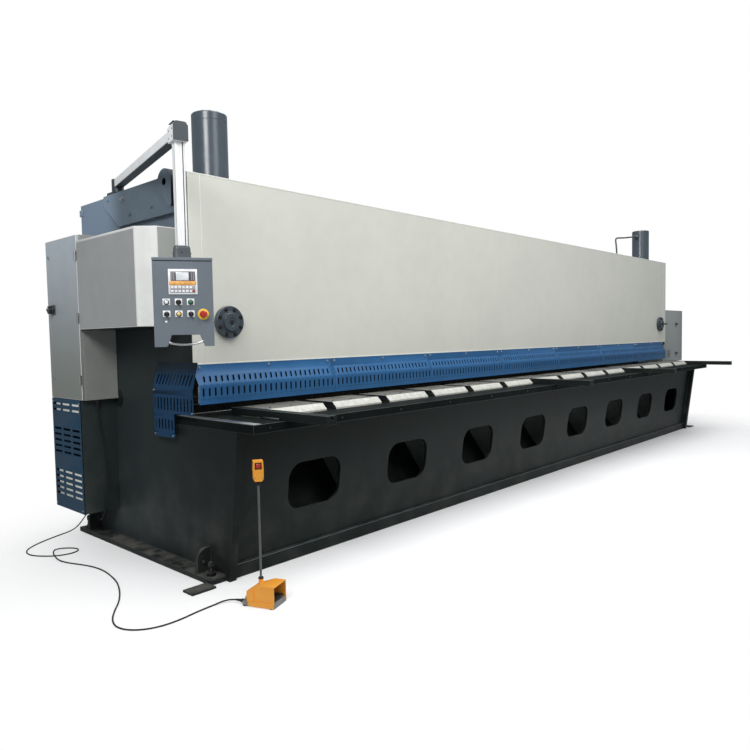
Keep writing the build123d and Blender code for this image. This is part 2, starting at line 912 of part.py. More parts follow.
def make_oil_pipe():
    """Steel pipe from the head of the right cylinder, bent down behind the panel."""
    x = length / 2 - cyl_in - cyl_r
    route = FilletPolyline(
        (x, cyl_y, pipe_z),
        (x - pipe_reach, cyl_y, pipe_z - pipe_fall),
        (x - pipe_reach - pipe_back, cyl_y - pipe_back, cyl_seat_z),
        radius=3 * pipe_r,
    )
    pipe = sweep(Plane(origin=route @ 0, z_dir=route % 0) * Circle(pipe_r), path=route)
    half = pipe_block / 2
    pipe += block(x - pipe_block_out, x + half, cyl_y - half, cyl_y + half, pipe_z - half, pipe_z + half)
    keep("oil_pipe", pipe - bar_z(length / 2 - cyl_in, cyl_y, cyl_r, cyl_seat_z, cyl_top))


def make_cord():
    """Tube of the control cord: straight runs joined by arcs that touch them."""
    points = [Vector(*p) for p in cord_route]
    radii = []
    for before, here, after in zip(points, points[1:], points[2:]):
        turn = math.radians((here - before).get_angle(after - here))
        shorter = min((here - before).length, (after - here).length)
        radii.append(0.45 * shorter / math.tan(turn / 2))
    print("cord radii", [round(r) for r in radii])
    route = FilletPolyline(*points, radius=radii)
    tube = sweep(Plane(origin=route @ 0, z_dir=route % 0) * Circle(cord_r), path=route)
    print("cord length", route.length, "volume ratio", tube.volume / (route.length * math.pi * cord_r**2))
    keep("floor_cord", tube)


def make_foot_switch():
    """Hooded pedal on its base, the treadle inside, the pole and its stop box."""
    place = Pos(pedal_x, pedal_y, 0) * Rot(0, 0, pedal_yaw)
    half_w = pedal_w / 2
    half_l = pedal_l / 2
    base = block(-half_w, half_w, -half_l, half_l, 0, pedal_base_h)
    outline = [
        (-half_l, pedal_base_h),
        (-half_l, pedal_h),
        (-half_l + hood_flat, pedal_h),
        (half_l - hood_set, pedal_h - hood_fall),
        (half_l - hood_set, pedal_base_h),
    ]
    hood_block = slab_yz(outline, -half_w, half_w)
    wall = pedal_wall
    inner_outline = [
        (-half_l, pedal_base_h),
        (-half_l, pedal_h - wall),
        (-half_l + hood_flat, pedal_h - wall),
        (half_l - hood_set - wall, pedal_h - hood_fall - wall),
        (half_l - hood_set - wall, pedal_base_h),
    ]
    hood = hood_block - slab_yz(inner_outline, -half_w + wall, half_w - wall)
    low = pedal_base_h + treadle_lift
    front = -half_l + treadle_in
    back = front + treadle_l
    side = half_w - treadle_side
    treadle = block(-side, side, front, back, low, low + treadle_t)
    keep("treadle", place * treadle)
    side = half_w - rest_side
    rest = block(-side, side, back - rest_in, back - rest_in + rest_t, pedal_base_h, low - hinge_fit)
    keep("pedal_base", place * (base + rest))
    stub = bar_y(-gland_in, gland_low, pedal_gland_r, half_l, half_l + gland_len)
    keep("cord_glands", cabinet_gland, place * stub)
    x = pedal_x + pole_dx
    y = pedal_y + pole_dy
    socket_top = pedal_h - socket_lap
    socket = bar_z(x, y, 2 * pole_r, socket_top - socket_h, socket_top)
    keep("pedal_hood", place * hood + (socket - place * hood_block))
    keep("stop_pole", bar_z(x, y, pole_r, socket_top, pole_top))
    half = stop_box_w / 2
    keep("stop_box", block(x - half, x + half, y - half, y + half, pole_top, pole_top + stop_box_h))
    keep("stop_button", bar_y(x, pole_top + push_z, push_r, y - half - push_out, y - half))


for left_right, wall_name in ((-1, "side_wall_left"), (1, "side_wall_right")):
    keep(wall_name, side_wall(left_right))
make_bed()
make_table()
keep("support_arms", *[support_arm(x, reach) for x, reach in support_arms])
make_front()
make_pressers()
make_guards()
make_cylinders()
make_swing_beam()
cabinet_gland = make_left_boxes()
make_right_box()
make_pendant()
make_feet()
make_rear()
make_back_gauge()
make_oil_pipe()
make_foot_switch()
make_cord()

cord_names = ("floor_cord",)
solids = [solid for name, part in parts.items() if name not in cord_names for solid in part.solids()]
box = Compound(solids).bounding_box()
shift = Pos(-(box.min.X + box.max.X) / 2, -(box.min.Y + box.max.Y) / 2, 0)
print("shift", -(box.min.X + box.max.X) / 2, -(box.min.Y + box.max.Y) / 2)
for name, part in parts.items():
    export_step(shift * part, f"parts/{name}.step")
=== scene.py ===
"""Looks of a hydraulic swing beam shear: camera, light, finishes and the fine pieces on the solid model."""
import json
import math

import bmesh
import bpy
import numpy as np
from mathutils import Matrix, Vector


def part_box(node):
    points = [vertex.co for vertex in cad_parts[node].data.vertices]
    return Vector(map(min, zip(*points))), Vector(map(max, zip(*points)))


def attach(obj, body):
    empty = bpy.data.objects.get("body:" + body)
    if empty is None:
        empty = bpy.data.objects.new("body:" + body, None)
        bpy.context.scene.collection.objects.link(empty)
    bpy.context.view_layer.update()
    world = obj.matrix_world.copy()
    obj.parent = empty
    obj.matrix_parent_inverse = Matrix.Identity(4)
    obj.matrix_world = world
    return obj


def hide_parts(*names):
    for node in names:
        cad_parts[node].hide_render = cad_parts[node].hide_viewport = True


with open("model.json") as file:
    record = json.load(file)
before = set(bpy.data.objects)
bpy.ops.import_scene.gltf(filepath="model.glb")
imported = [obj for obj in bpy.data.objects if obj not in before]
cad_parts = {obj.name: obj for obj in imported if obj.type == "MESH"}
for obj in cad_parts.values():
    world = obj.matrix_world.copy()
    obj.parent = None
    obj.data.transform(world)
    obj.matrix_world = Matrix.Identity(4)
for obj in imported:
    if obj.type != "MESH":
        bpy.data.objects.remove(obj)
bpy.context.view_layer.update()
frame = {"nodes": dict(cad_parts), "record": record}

# Places are in millimetres from the left wall's outer face, the front of the bottom rail and the floor.
ZERO = np.array([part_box("front_panel")[0][0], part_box("front_rail")[0][1], 0.0])
MM = 0.001
LENGTH = 8440.0
UP, DOWN = (0, 0, 1), (0, 0, -1)
FRONT, REAR = (0, -1, 0), (0, 1, 0)
LEFT, RIGHT = (-1, 0, 0), (1, 0, 0)
BODY_OF = {node: body for body, nodes in frame["record"]["behaviour"]["bodies"].items() for node in nodes}


def spot(x, y, z):
    """A place in millimetres as a point of the shared frame, in metres."""
    return ZERO + np.array([x, y, z], float) * MM


def reach_of(node):
    """The lowest and the highest corner of a CAD node, in millimetres."""
    low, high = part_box(node)
    return (np.asarray(low) - ZERO) / MM, (np.asarray(high) - ZERO) / MM


def add(name, data):
    """A new object in the scene."""
    thing = bpy.data.objects.new(name, data)
    bpy.context.scene.collection.objects.link(thing)
    return thing


def stand(thing, right, up, back, place):
    """Give a camera or a lamp the directions of its x, y and z and its place, in metres."""
    matrix = np.eye(4)
    matrix[:3] = np.stack([right, up, back, place], 1)
    thing.matrix_world = Matrix(matrix.tolist())


# Camera

YAW, PITCH, ROLL = 47.2385, -3.2604, -1.0739
EYE = (-2341.5, -3446.5, 1500.0)
FOCAL_PIXELS, PICTURE_PIXELS, SENSOR = 665.2316, 750.0, 36.0


def make_camera():
    """Camera with the photograph's place, turn and lens."""
    yaw, pitch, roll = np.radians([YAW, PITCH, ROLL])
    ahead = np.array([math.sin(yaw) * math.cos(pitch), math.cos(yaw) * math.cos(pitch), math.sin(pitch)])
    level = np.array([math.cos(yaw), -math.sin(yaw), 0.0])
    above = np.cross(level, ahead)
    right = level * math.cos(roll) + above * math.sin(roll)
    up = above * math.cos(roll) - level * math.sin(roll)
    lens = bpy.data.cameras.new("camera")
    lens.sensor_width = SENSOR
    lens.lens = FOCAL_PIXELS * SENSOR / PICTURE_PIXELS
    lens.clip_start = 0.05
    lens.clip_end = 200.0
    eye = add("camera", lens)
    stand(eye, right, up, -ahead, spot(*EYE))
    bpy.context.scene.camera = eye


make_camera()


# Finishes

class Wave:
    """A socket in a material; + - * / and ** on it add Math nodes."""

    def __init__(self, maker, socket):
        self.maker = maker
        self.socket = socket

    def _math(self, operation, left, right):
        return self.maker.node("ShaderNodeMath", {"operation": operation}, {0: left, 1: right})

    def __add__(self, other):
        return self._math("ADD", self, other)

    __radd__ = __add__

    def __sub__(self, other):
        return self._math("SUBTRACT", self, other)

    def __rsub__(self, other):
        return self._math("SUBTRACT", other, self)

    def __mul__(self, other):
        return self._math("MULTIPLY", self, other)

    __rmul__ = __mul__

    def __truediv__(self, other):
        return self._math("DIVIDE", self, other)

    def __pow__(self, other):
        return self._math("POWER", self, other)


class Finish:
    """A material's nodes. Every node comes from node(), and values between them are Waves."""

    def __init__(self, name):
        self.material = bpy.data.materials.new(name)
        self.material.use_nodes = True
        self.tree = self.material.node_tree
        self.tree.nodes.clear()
        self.place = self.node("ShaderNodeTexCoord", out="Object")

    def node(self, kind, settings=None, values=None, out=0):
        """One node: its settings first, then the values or links of its sockets."""
        node = self.tree.nodes.new(kind)
        for key, value in (settings or {}).items():
            setattr(node, key, value)
        for key, value in (values or {}).items():
            if isinstance(value, Wave):
                self.tree.links.new(value.socket, node.inputs[key])
            else:
                node.inputs[key].default_value = value
        return Wave(self, node.outputs[out])

    def noise(self, scale, detail=3.0, stretch=None, rough=0.5, offset=0.0):
        """Fractal noise over the object's place; stretch shrinks the place along each axis."""
        place = self.place
        if stretch or offset:
            place = self.node("ShaderNodeMapping", {}, {
                "Vector": place, "Scale": stretch or (1.0, 1.0, 1.0), "Location": (offset, offset, offset)})
        return self.node("ShaderNodeTexNoise", {}, {
            "Vector": place, "Scale": scale, "Detail": detail, "Roughness": rough})

    def band(self, value, low, high, top=1.0):
        """0 below low, top above high, smooth between."""
        return self.node("ShaderNodeMapRange", {"interpolation_type": "SMOOTHSTEP"}, {
            "Value": value, "From Min": low, "From Max": high, "To Min": 0.0, "To Max": top})

    def mix(self, factor, first, second):
        """Colour between first and second."""
        return self.node("ShaderNodeMix", {"data_type": "RGBA"}, {0: factor, 6: first, 7: second}, out=2)

    def axis(self, name, vector=None):
        """One component of a vector, of the object's place if none is given."""
        return self.node("ShaderNodeSeparateXYZ", {}, {0: vector or self.place}, out=name)

    def faces(self, name):
        """How far the surface faces along X, Y or Z, from -1 to 1."""
        return self.axis(name, self.node("ShaderNodeNewGeometry", out="Normal"))

    def surface(self, colour, rough, metal, height, depth, strength, fixed=None):
        """Principled shader with a bump from height, on the output; fixed holds other sockets' values."""
        values = {"Base Color": colour, "Roughness": rough, "Metallic": metal}
        values.update(fixed or {})
        values["Normal"] = self.node("ShaderNodeBump", {}, {
            "Height": height, "Strength": strength, "Distance": depth}, out="Normal")
        self.show(self.node("ShaderNodeBsdfPrincipled", {}, values, out="BSDF"))
        return self.material

    def show(self, shader):
        """Link a shader to the output node."""
        output = self.tree.nodes.new("ShaderNodeOutputMaterial")
        self.tree.links.new(shader.socket, output.inputs["Surface"])


def shade(colour, share):
    """A colour made lighter or darker, as four numbers."""
    return tuple(min(1.0, channel * share) for channel in colour) + (1.0,)


DUST = (0.30, 0.29, 0.26)
BARE = (0.32, 0.32, 0.31)


def enamel(name, colour, rough, uneven, peel, dust, grime, chips=0.0, streak=0.0, shine=0.5,
           below=None, rear=None, ahead=None, facing=None):
    """Sprayed paint: uneven tone, orange peel, dust on what faces up, grime low down, chips to the metal.

    below, rear and ahead paint light and shade into the colour: each is a second colour and the heights or
    depths between which it fades; facing holds the colours of slanting and of front faces, painted light and
    shade by how a face turns."""
    f = Finish(name)
    cloud = f.noise(1.3, 4.0)
    patch = f.noise(9.0, 5.0, offset=3.0)
    tone = f.band(cloud * 0.6 + patch * 0.4, 0.3, 0.7)
    paint = f.mix(tone, shade(colour, 1.0 - uneven), shade(colour, 1.0 + uneven))
    # painted light and shade: a second colour under a band of heights
    if below:
        paint = f.mix(f.band(f.axis("Z"), below[1], below[2]), shade(below[0], 1.0), paint)
    # painted light: a pale colour high up and towards the rear
    if rear:
        high = f.band(f.axis("Y"), rear[1], rear[2]) * f.band(f.axis("Z"), 1.9, 2.1)
        paint = f.mix(high, paint, shade(rear[0], 1.0))
    # painted shade: a dark colour low down and towards the front
    if ahead:
        low = 1.0 - f.band(f.axis("Z"), 1.6, 2.0)
        paint = f.mix((1.0 - f.band(f.axis("Y"), ahead[1], ahead[2])) * low, paint, shade(ahead[0], 1.0))
    # painted light and shade by how a face turns: slanting faces take facing[0] with scuffs of wear, front
    # faces take facing[1]
    if facing:
        front = 0.0 - f.faces("Y")
        scuff = f.band(patch * 0.5 + f.noise(3.0, 5.0, stretch=(1.0, 1.0, 0.4)) * 0.5, 0.46, 0.62, 0.16)
        slant_light_and_scuffs = f.mix(scuff, shade(facing[0], 1.0), shade(facing[0], 0.5))
        paint = f.mix(f.band(front, 0.25, 0.5), paint, slant_light_and_scuffs)
        paint = f.mix(f.band(front, 0.86, 0.95), paint, shade(facing[1], 1.0))
    if streak:
        run = f.band(f.noise(7.0, 4.0, stretch=(1.0, 1.0, 0.06), offset=7.0), 0.52, 0.78, streak)
        paint = f.mix(run, paint, shade(colour, 0.72))
    settled = f.band(f.faces("Z"), 0.45, 0.95) * f.band(patch, 0.25, 0.75) * dust
    paint = f.mix(settled, paint, shade(DUST, 1.0))
    low = (1.0 - f.band(f.axis("Z"), 0.0, 0.9)) * f.band(f.noise(5.0, 6.0, offset=11.0), 0.35, 0.8) * grime
    paint = f.mix(low, paint, shade(DUST, 0.6))
    grain = f.noise(420.0, 2.0)
    roughness = rough + settled * 0.4 + low * 0.3 + (patch - 0.5) * 0.12
    height = grain * peel + f.noise(60.0, 2.0) * 0.3
    metal = 0.0
    if chips:
        bare = f.band(f.noise(55.0, 6.0, rough=0.7), 0.72 - 0.12 * chips, 0.75 - 0.12 * chips)
        paint = f.mix(bare, paint, shade(BARE, 1.0))
        metal = bare * 0.8
        height = height - bare * 2.0
    return f.surface(paint, roughness, metal, height, 0.0004, 0.35, {"Specular IOR Level": shine})


def steel(name, colour, rough, lines=(1.0, 1.0, 1.0), stain=0.25, metal=1.0):
    """Ground or drawn metal: fine lines across the stretch, with dull stains."""
    f = Finish(name)
    fine = f.noise(260.0, 4.0, stretch=lines)
    blotch = f.noise(6.0, 6.0, offset=5.0)
    tone = f.mix(f.band(fine, 0.3, 0.7), shade(colour, 0.88), shade(colour, 1.08))
    tone = f.mix(f.band(blotch, 0.5, 0.8, stain), tone, shade((0.20, 0.17, 0.14), 1.0))
    roughness = rough + (fine - 0.5) * 0.12 + f.band(blotch, 0.4, 0.8, 0.25)
    return f.surface(tone, roughness, metal, fine, 0.0002, 0.25)


def moulded(name, colour, rough, grain=0.4, gloss=0.0):
    """Moulded plastic or rubber with a fine leather grain and light handling wear."""
    f = Finish(name)
    grid = {"Vector": f.place, "Scale": 900.0}
    cell = f.node("ShaderNodeTexVoronoi", {"feature": "F1"}, grid, out="Distance")
    wear = f.noise(28.0, 5.0)
    tone = f.mix(f.band(wear, 0.35, 0.75), shade(colour, 0.9), shade(colour, 1.15))
    return f.surface(tone, rough + (wear - 0.5) * 0.2, 0.0, cell * grain + wear * 0.2, 0.0002, 0.3,
                     {"Coat Weight": gloss})


def table_paint(name):
    """Off-white nose, near-black ends as painted shade in the gaps between blocks, its flat top worn to bare
    grey metal by sheets, with brown oil marks.
    """
    f = Finish(name)
    wide = f.noise(3.2, 5.0, stretch=(1.0, 0.35, 1.0))
    fine = f.noise(34.0, 6.0, stretch=(1.0, 0.15, 1.0))
    top = f.band(f.faces("Z"), 0.9, 0.97)
    rub = top * f.band(wide * 0.75 + fine * 0.25, 0.30, 0.50)
    paint = f.mix(f.band(fine, 0.3, 0.8), shade((0.50, 0.50, 0.45), 0.92), shade((0.58, 0.58, 0.53), 1.05))
    oil = f.band(f.noise(5.0, 6.0, offset=9.0), 0.55, 0.72, 0.6)
    paint = f.mix(rub, paint, shade((0.27, 0.25, 0.20), 1.0))
    paint = f.mix(oil * top, paint, shade((0.10, 0.075, 0.05), 1.0))
    # painted shade: faces turned along X, the block ends in the gaps, go near black
    across = f.faces("X")
    paint = f.mix(f.band(across * across, 0.3, 0.6), paint, shade((0.008, 0.010, 0.009), 1.0))
    rough = 0.42 - rub * 0.1 + (fine - 0.5) * 0.2
    return f.surface(paint, rough, rub * 0.4, fine, 0.0004, 0.3)


FRAME_BLACK = (0.010, 0.0135, 0.0125)
SLATE = (0.045, 0.060, 0.075)
# pale blue of painted window light, high up to the rear of the walls and on the bracket
PAINTED_SKYLIGHT_BLUE = (0.23, 0.30, 0.39)


def wall_paint(name, front):
    """Enamel of a side wall with painted light and shade: painted shade below and ahead, painted pale sky
    light high to the rear; front is the colour of the painted shade on its front edge.
    """
    return enamel(name, (0.13, 0.165, 0.205), 0.44, 0.12, 0.4, 0.25, 0.2, 0.1,
                  below=((0.028, 0.036, 0.037), 1.75, 2.15), rear=(PAINTED_SKYLIGHT_BLUE, 0.58, 0.84),
                  ahead=((0.009, 0.012, 0.0115), -0.6, 0.75), facing=(FRAME_BLACK, front), shine=0.14)


PAINT = {
    "black": enamel("machine_black", FRAME_BLACK, 0.42, 0.3, 0.5, 0.12, 0.10, 0.06, shine=0.16),
    "foot_black": enamel("foot_black", FRAME_BLACK, 0.5, 0.3, 0.5, 0.38, 0.15, 0.1, shine=0.16),
    "black_edge": enamel("machine_black_edge", (0.030, 0.036, 0.036), 0.38, 0.3, 0.4, 0.2, 0.15, 0.5,
                         shine=0.2),
    "slate": enamel("slate_enamel", SLATE, 0.34, 0.14, 0.4, 0.22, 0.2),
    # arm bracket: a blue-grey paler than the slate and sky blue towards its rear, painted window light
    "bracket": enamel("bracket_painted_light", (0.100, 0.138, 0.170), 0.34, 0.14, 0.4, 0.22, 0.2,
                      rear=(PAINTED_SKYLIGHT_BLUE, 0.48, 0.76)),
    "cylinder": enamel("cylinder_enamel", (0.057, 0.075, 0.093), 0.24, 0.12, 0.4, 0.22, 0.2, shine=0.7),
    "slate_edge": enamel("slate_edge", (0.09, 0.11, 0.13), 0.3, 0.2, 0.4, 0.22, 0.2, 0.3),
    "panel": enamel("panel_enamel", (0.66, 0.66, 0.59), 0.46, 0.035, 0.9, 0.1, 0.1, 0.0, 0.05),
    "panel_edge": enamel("panel_edge", (0.76, 0.76, 0.70), 0.4, 0.05, 0.5, 0.1, 0.1),
    "beige_edge": enamel("cover_edge", (0.72, 0.72, 0.69), 0.34, 0.06, 0.5, 0.1, 0.1),
    "blue": enamel("guard_blue", (0.024, 0.108, 0.255), 0.42, 0.10, 0.5, 0.08, 0.1, shine=0.25),
    # left throat guard: a darker navy than the guard blue, near black at its top, all painted shade
    "painted_shade_navy": enamel("side_guard_painted_shade", (0.003, 0.010, 0.018), 0.42, 0.15, 0.5, 0.08, 0.1, shine=0.2,
                        below=((0.005, 0.040, 0.100), 1.22, 1.34)),
    # front rail and apron: a darker copy of the machine black, painted shade
    "front_black": enamel("front_black", (0.0055, 0.0095, 0.0085), 0.42, 0.3, 0.5, 0.12, 0.10, 0.06,
                          shine=0.13),
    # inside of the bed: a grey raised so it reads lit, with paler slanting and front faces, all painted light
    "inner_grey": enamel("bed_inside_painted_light", (0.22, 0.25, 0.235), 0.5, 0.2, 0.5, 0.2, 0.2, 0.1, shine=0.2,
                         facing=((0.30, 0.34, 0.32), (0.42, 0.47, 0.43))),
    "plate_black": enamel("plate_black", (0.007, 0.0095, 0.009), 0.6, 0.3, 0.4, 0.02, 0.0, 0.05, shine=0.03),
    # cabinet: its beige darkened to painted shade under the side cover
    "painted_shade_beige": enamel("cabinet_painted_shade", (0.29, 0.30, 0.28), 0.42, 0.06, 0.8, 0.3, 0.2, 0.0, 0.2),
    "unit_blue": enamel("unit_blue", (0.018, 0.056, 0.100), 0.45, 0.12, 0.5, 0.08, 0.1, shine=0.1),
    # front plate of the lower unit: a dark grey, painted shade
    "unit_front_painted_shade": enamel("unit_front_painted_shade", (0.027, 0.036, 0.035), 0.42, 0.2, 0.5, 0.15, 0.2, shine=0.2),
    "light_grey": enamel("cabinet_grey", (0.29, 0.31, 0.30), 0.4, 0.05, 0.6, 0.15, 0.1),
    "grey": enamel("pendant_grey", (0.145, 0.170, 0.195), 0.42, 0.06, 0.9, 0.1, 0.0),
    "base_grey": enamel("pedal_grey", (0.20, 0.215, 0.205), 0.5, 0.12, 0.8, 0.3, 0.5),
    # side walls: enamel with painted light and shade, as wall_paint says
    "wall": wall_paint("wall_enamel", (0.0045, 0.006, 0.0055)),
    "right_wall": wall_paint("right_wall_enamel", (0.014, 0.019, 0.016)),
    # swing beam: slate, with its front faces turned black as painted shade
    "beam": enamel("beam_enamel", SLATE, 0.34, 0.14, 0.4, 0.22, 0.2, facing=(SLATE, FRAME_BLACK)),
    # side cover: one beige painted as light and shade, darker on the sides, much paler with scuffs on the
    # slanting chamfer, darker again on front faces
    "cover": enamel("cover_paint", (0.345, 0.35, 0.345), 0.4, 0.07, 0.9, 0.15, 0.2, 0.0, 0.1,
                    facing=((0.80, 0.80, 0.77), (0.34, 0.35, 0.33))),
    # cabinet door: paler and bluer above, darker towards the bottom, painted light from above
    "door": enamel("door_paint", (0.46, 0.51, 0.55), 0.4, 0.06, 0.7, 0.15, 0.2, 0.0, 0.1,
                   below=((0.215, 0.225, 0.20), 1.1, 2.3)),
    "orange_edge": enamel("orange_edge", (0.85, 0.40, 0.12), 0.32, 0.1, 0.4, 0.1, 0.2, 0.3),
    "orange": enamel("pedal_orange", (0.80, 0.33, 0.035), 0.36, 0.08, 0.5, 0.05, 0.05, 0.05),
    "table": table_paint("table_paint"),
    "steel": steel("ground_steel", (0.55, 0.55, 0.54), 0.3, (0.08, 1.0, 1.0)),
    "blade_steel": steel("blade_steel", (0.09, 0.09, 0.095), 0.45, (0.08, 1.0, 1.0), 0.3),
    "bolt": steel("zinc_bolt", (0.50, 0.50, 0.49), 0.34, stain=0.4),
    "pad_bolt": steel("pad_bolt", (0.22, 0.22, 0.21), 0.4, stain=0.3),
    "dark_bolt": steel("black_bolt", (0.06, 0.06, 0.062), 0.42, stain=0.3),
    "pole": steel("pole_steel", (0.13, 0.14, 0.13), 0.34, (1.0, 1.0, 0.1), 0.2, 0.6),
    "chrome": steel("chromed_rod", (0.72, 0.72, 0.73), 0.12, (1.0, 1.0, 0.1), 0.05),
    "alloy": steel("anodised_alloy", (0.93, 0.935, 0.93), 0.45, (1.0, 1.0, 0.04), 0.03, 0.0),
    # dark grey of the collar and pivot head, and painted shade on the arm's underside and the elbow's front
    "dark_grey_and_painted_shade": enamel("casting_and_painted_shade", (0.060, 0.072, 0.078), 0.4, 0.1, 0.9, 0.2, 0.0, shine=0.4),
    "plastic": moulded("black_plastic", (0.022, 0.022, 0.025), 0.42),
    "gloss_black": moulded("gloss_black", (0.015, 0.015, 0.018), 0.2, 0.1, 0.3),
    "rubber": moulded("cable_rubber", (0.005, 0.005, 0.0055), 0.7, 0.3),
    "red": moulded("button_red", (0.42, 0.022, 0.018), 0.3, 0.1, 0.3),
    "yellow": moulded("ring_yellow", (0.80, 0.55, 0.04), 0.35, 0.2),
    "green": moulded("button_green", (0.012, 0.16, 0.075), 0.3, 0.1, 0.2),
    "amber": moulded("lamp_amber", (0.85, 0.52, 0.12), 0.25, 0.1, 0.4),
    "white": moulded("label_white", (0.86, 0.87, 0.87), 0.35, 0.2),
    "film": moulded("keypad_film", (0.34, 0.32, 0.34), 0.36, 0.1),
    "film_orange": moulded("keypad_orange", (0.78, 0.36, 0.10), 0.36, 0.1),
    "film_dark": moulded("keypad_dark", (0.09, 0.09, 0.10), 0.3, 0.1),
    "glass": moulded("screen_glass", (0.78, 0.81, 0.82), 0.12, 0.0, 0.5),
}


# Shapes

def frame_of(axis):
    """Three unit rows: two across the axis and the axis itself."""
    axis = np.asarray(axis, float)
    axis = axis / np.linalg.norm(axis)
    side = np.cross(np.eye(3)[int(np.argmin(np.abs(axis)))], axis)
    side /= np.linalg.norm(side)
    return np.stack([side, np.cross(axis, side), axis])


def lattice(*values):
    """Every combination of the given x, y and z values, one place a row."""
    return np.stack(np.meshgrid(*values, indexing="ij"), -1).reshape(-1, 3)


def smooth_path(points, steps=8):
    """Quadratic spline: (1-t)^2 a + 2t(1-t) p + t^2 b, with a and b the middles of the legs beside p."""
    points = np.asarray(points, float)
    middles = (points[:-1] + points[1:]) / 2
    middles[0], middles[-1] = points[0], points[-1]
    t = np.linspace(0, 1, steps + 1)[None, :, None]
    start, bend, end = middles[:-1, None], points[1:-1, None], middles[1:, None]
    legs = (1 - t) ** 2 * start + 2 * t * (1 - t) * bend + t ** 2 * end
    return np.concatenate([legs[:, :-1].reshape(-1, 3), points[-1:]])


def folded(profile, along):
    """Place on a folded sheet: v runs down the profile's own length, u straight along x or y."""
    profile = np.asarray(profile, float)
    reach = np.concatenate([[0], np.cumsum(np.linalg.norm(np.diff(profile, axis=0), axis=1))])

    def place(u, v):
        u, v = np.broadcast_arrays(u, v)
        out, z = (np.interp(v, reach, column) for column in profile.T)
        return np.stack([u, out, z] if along == "x" else [out, u, z], -1)

    return place, reach


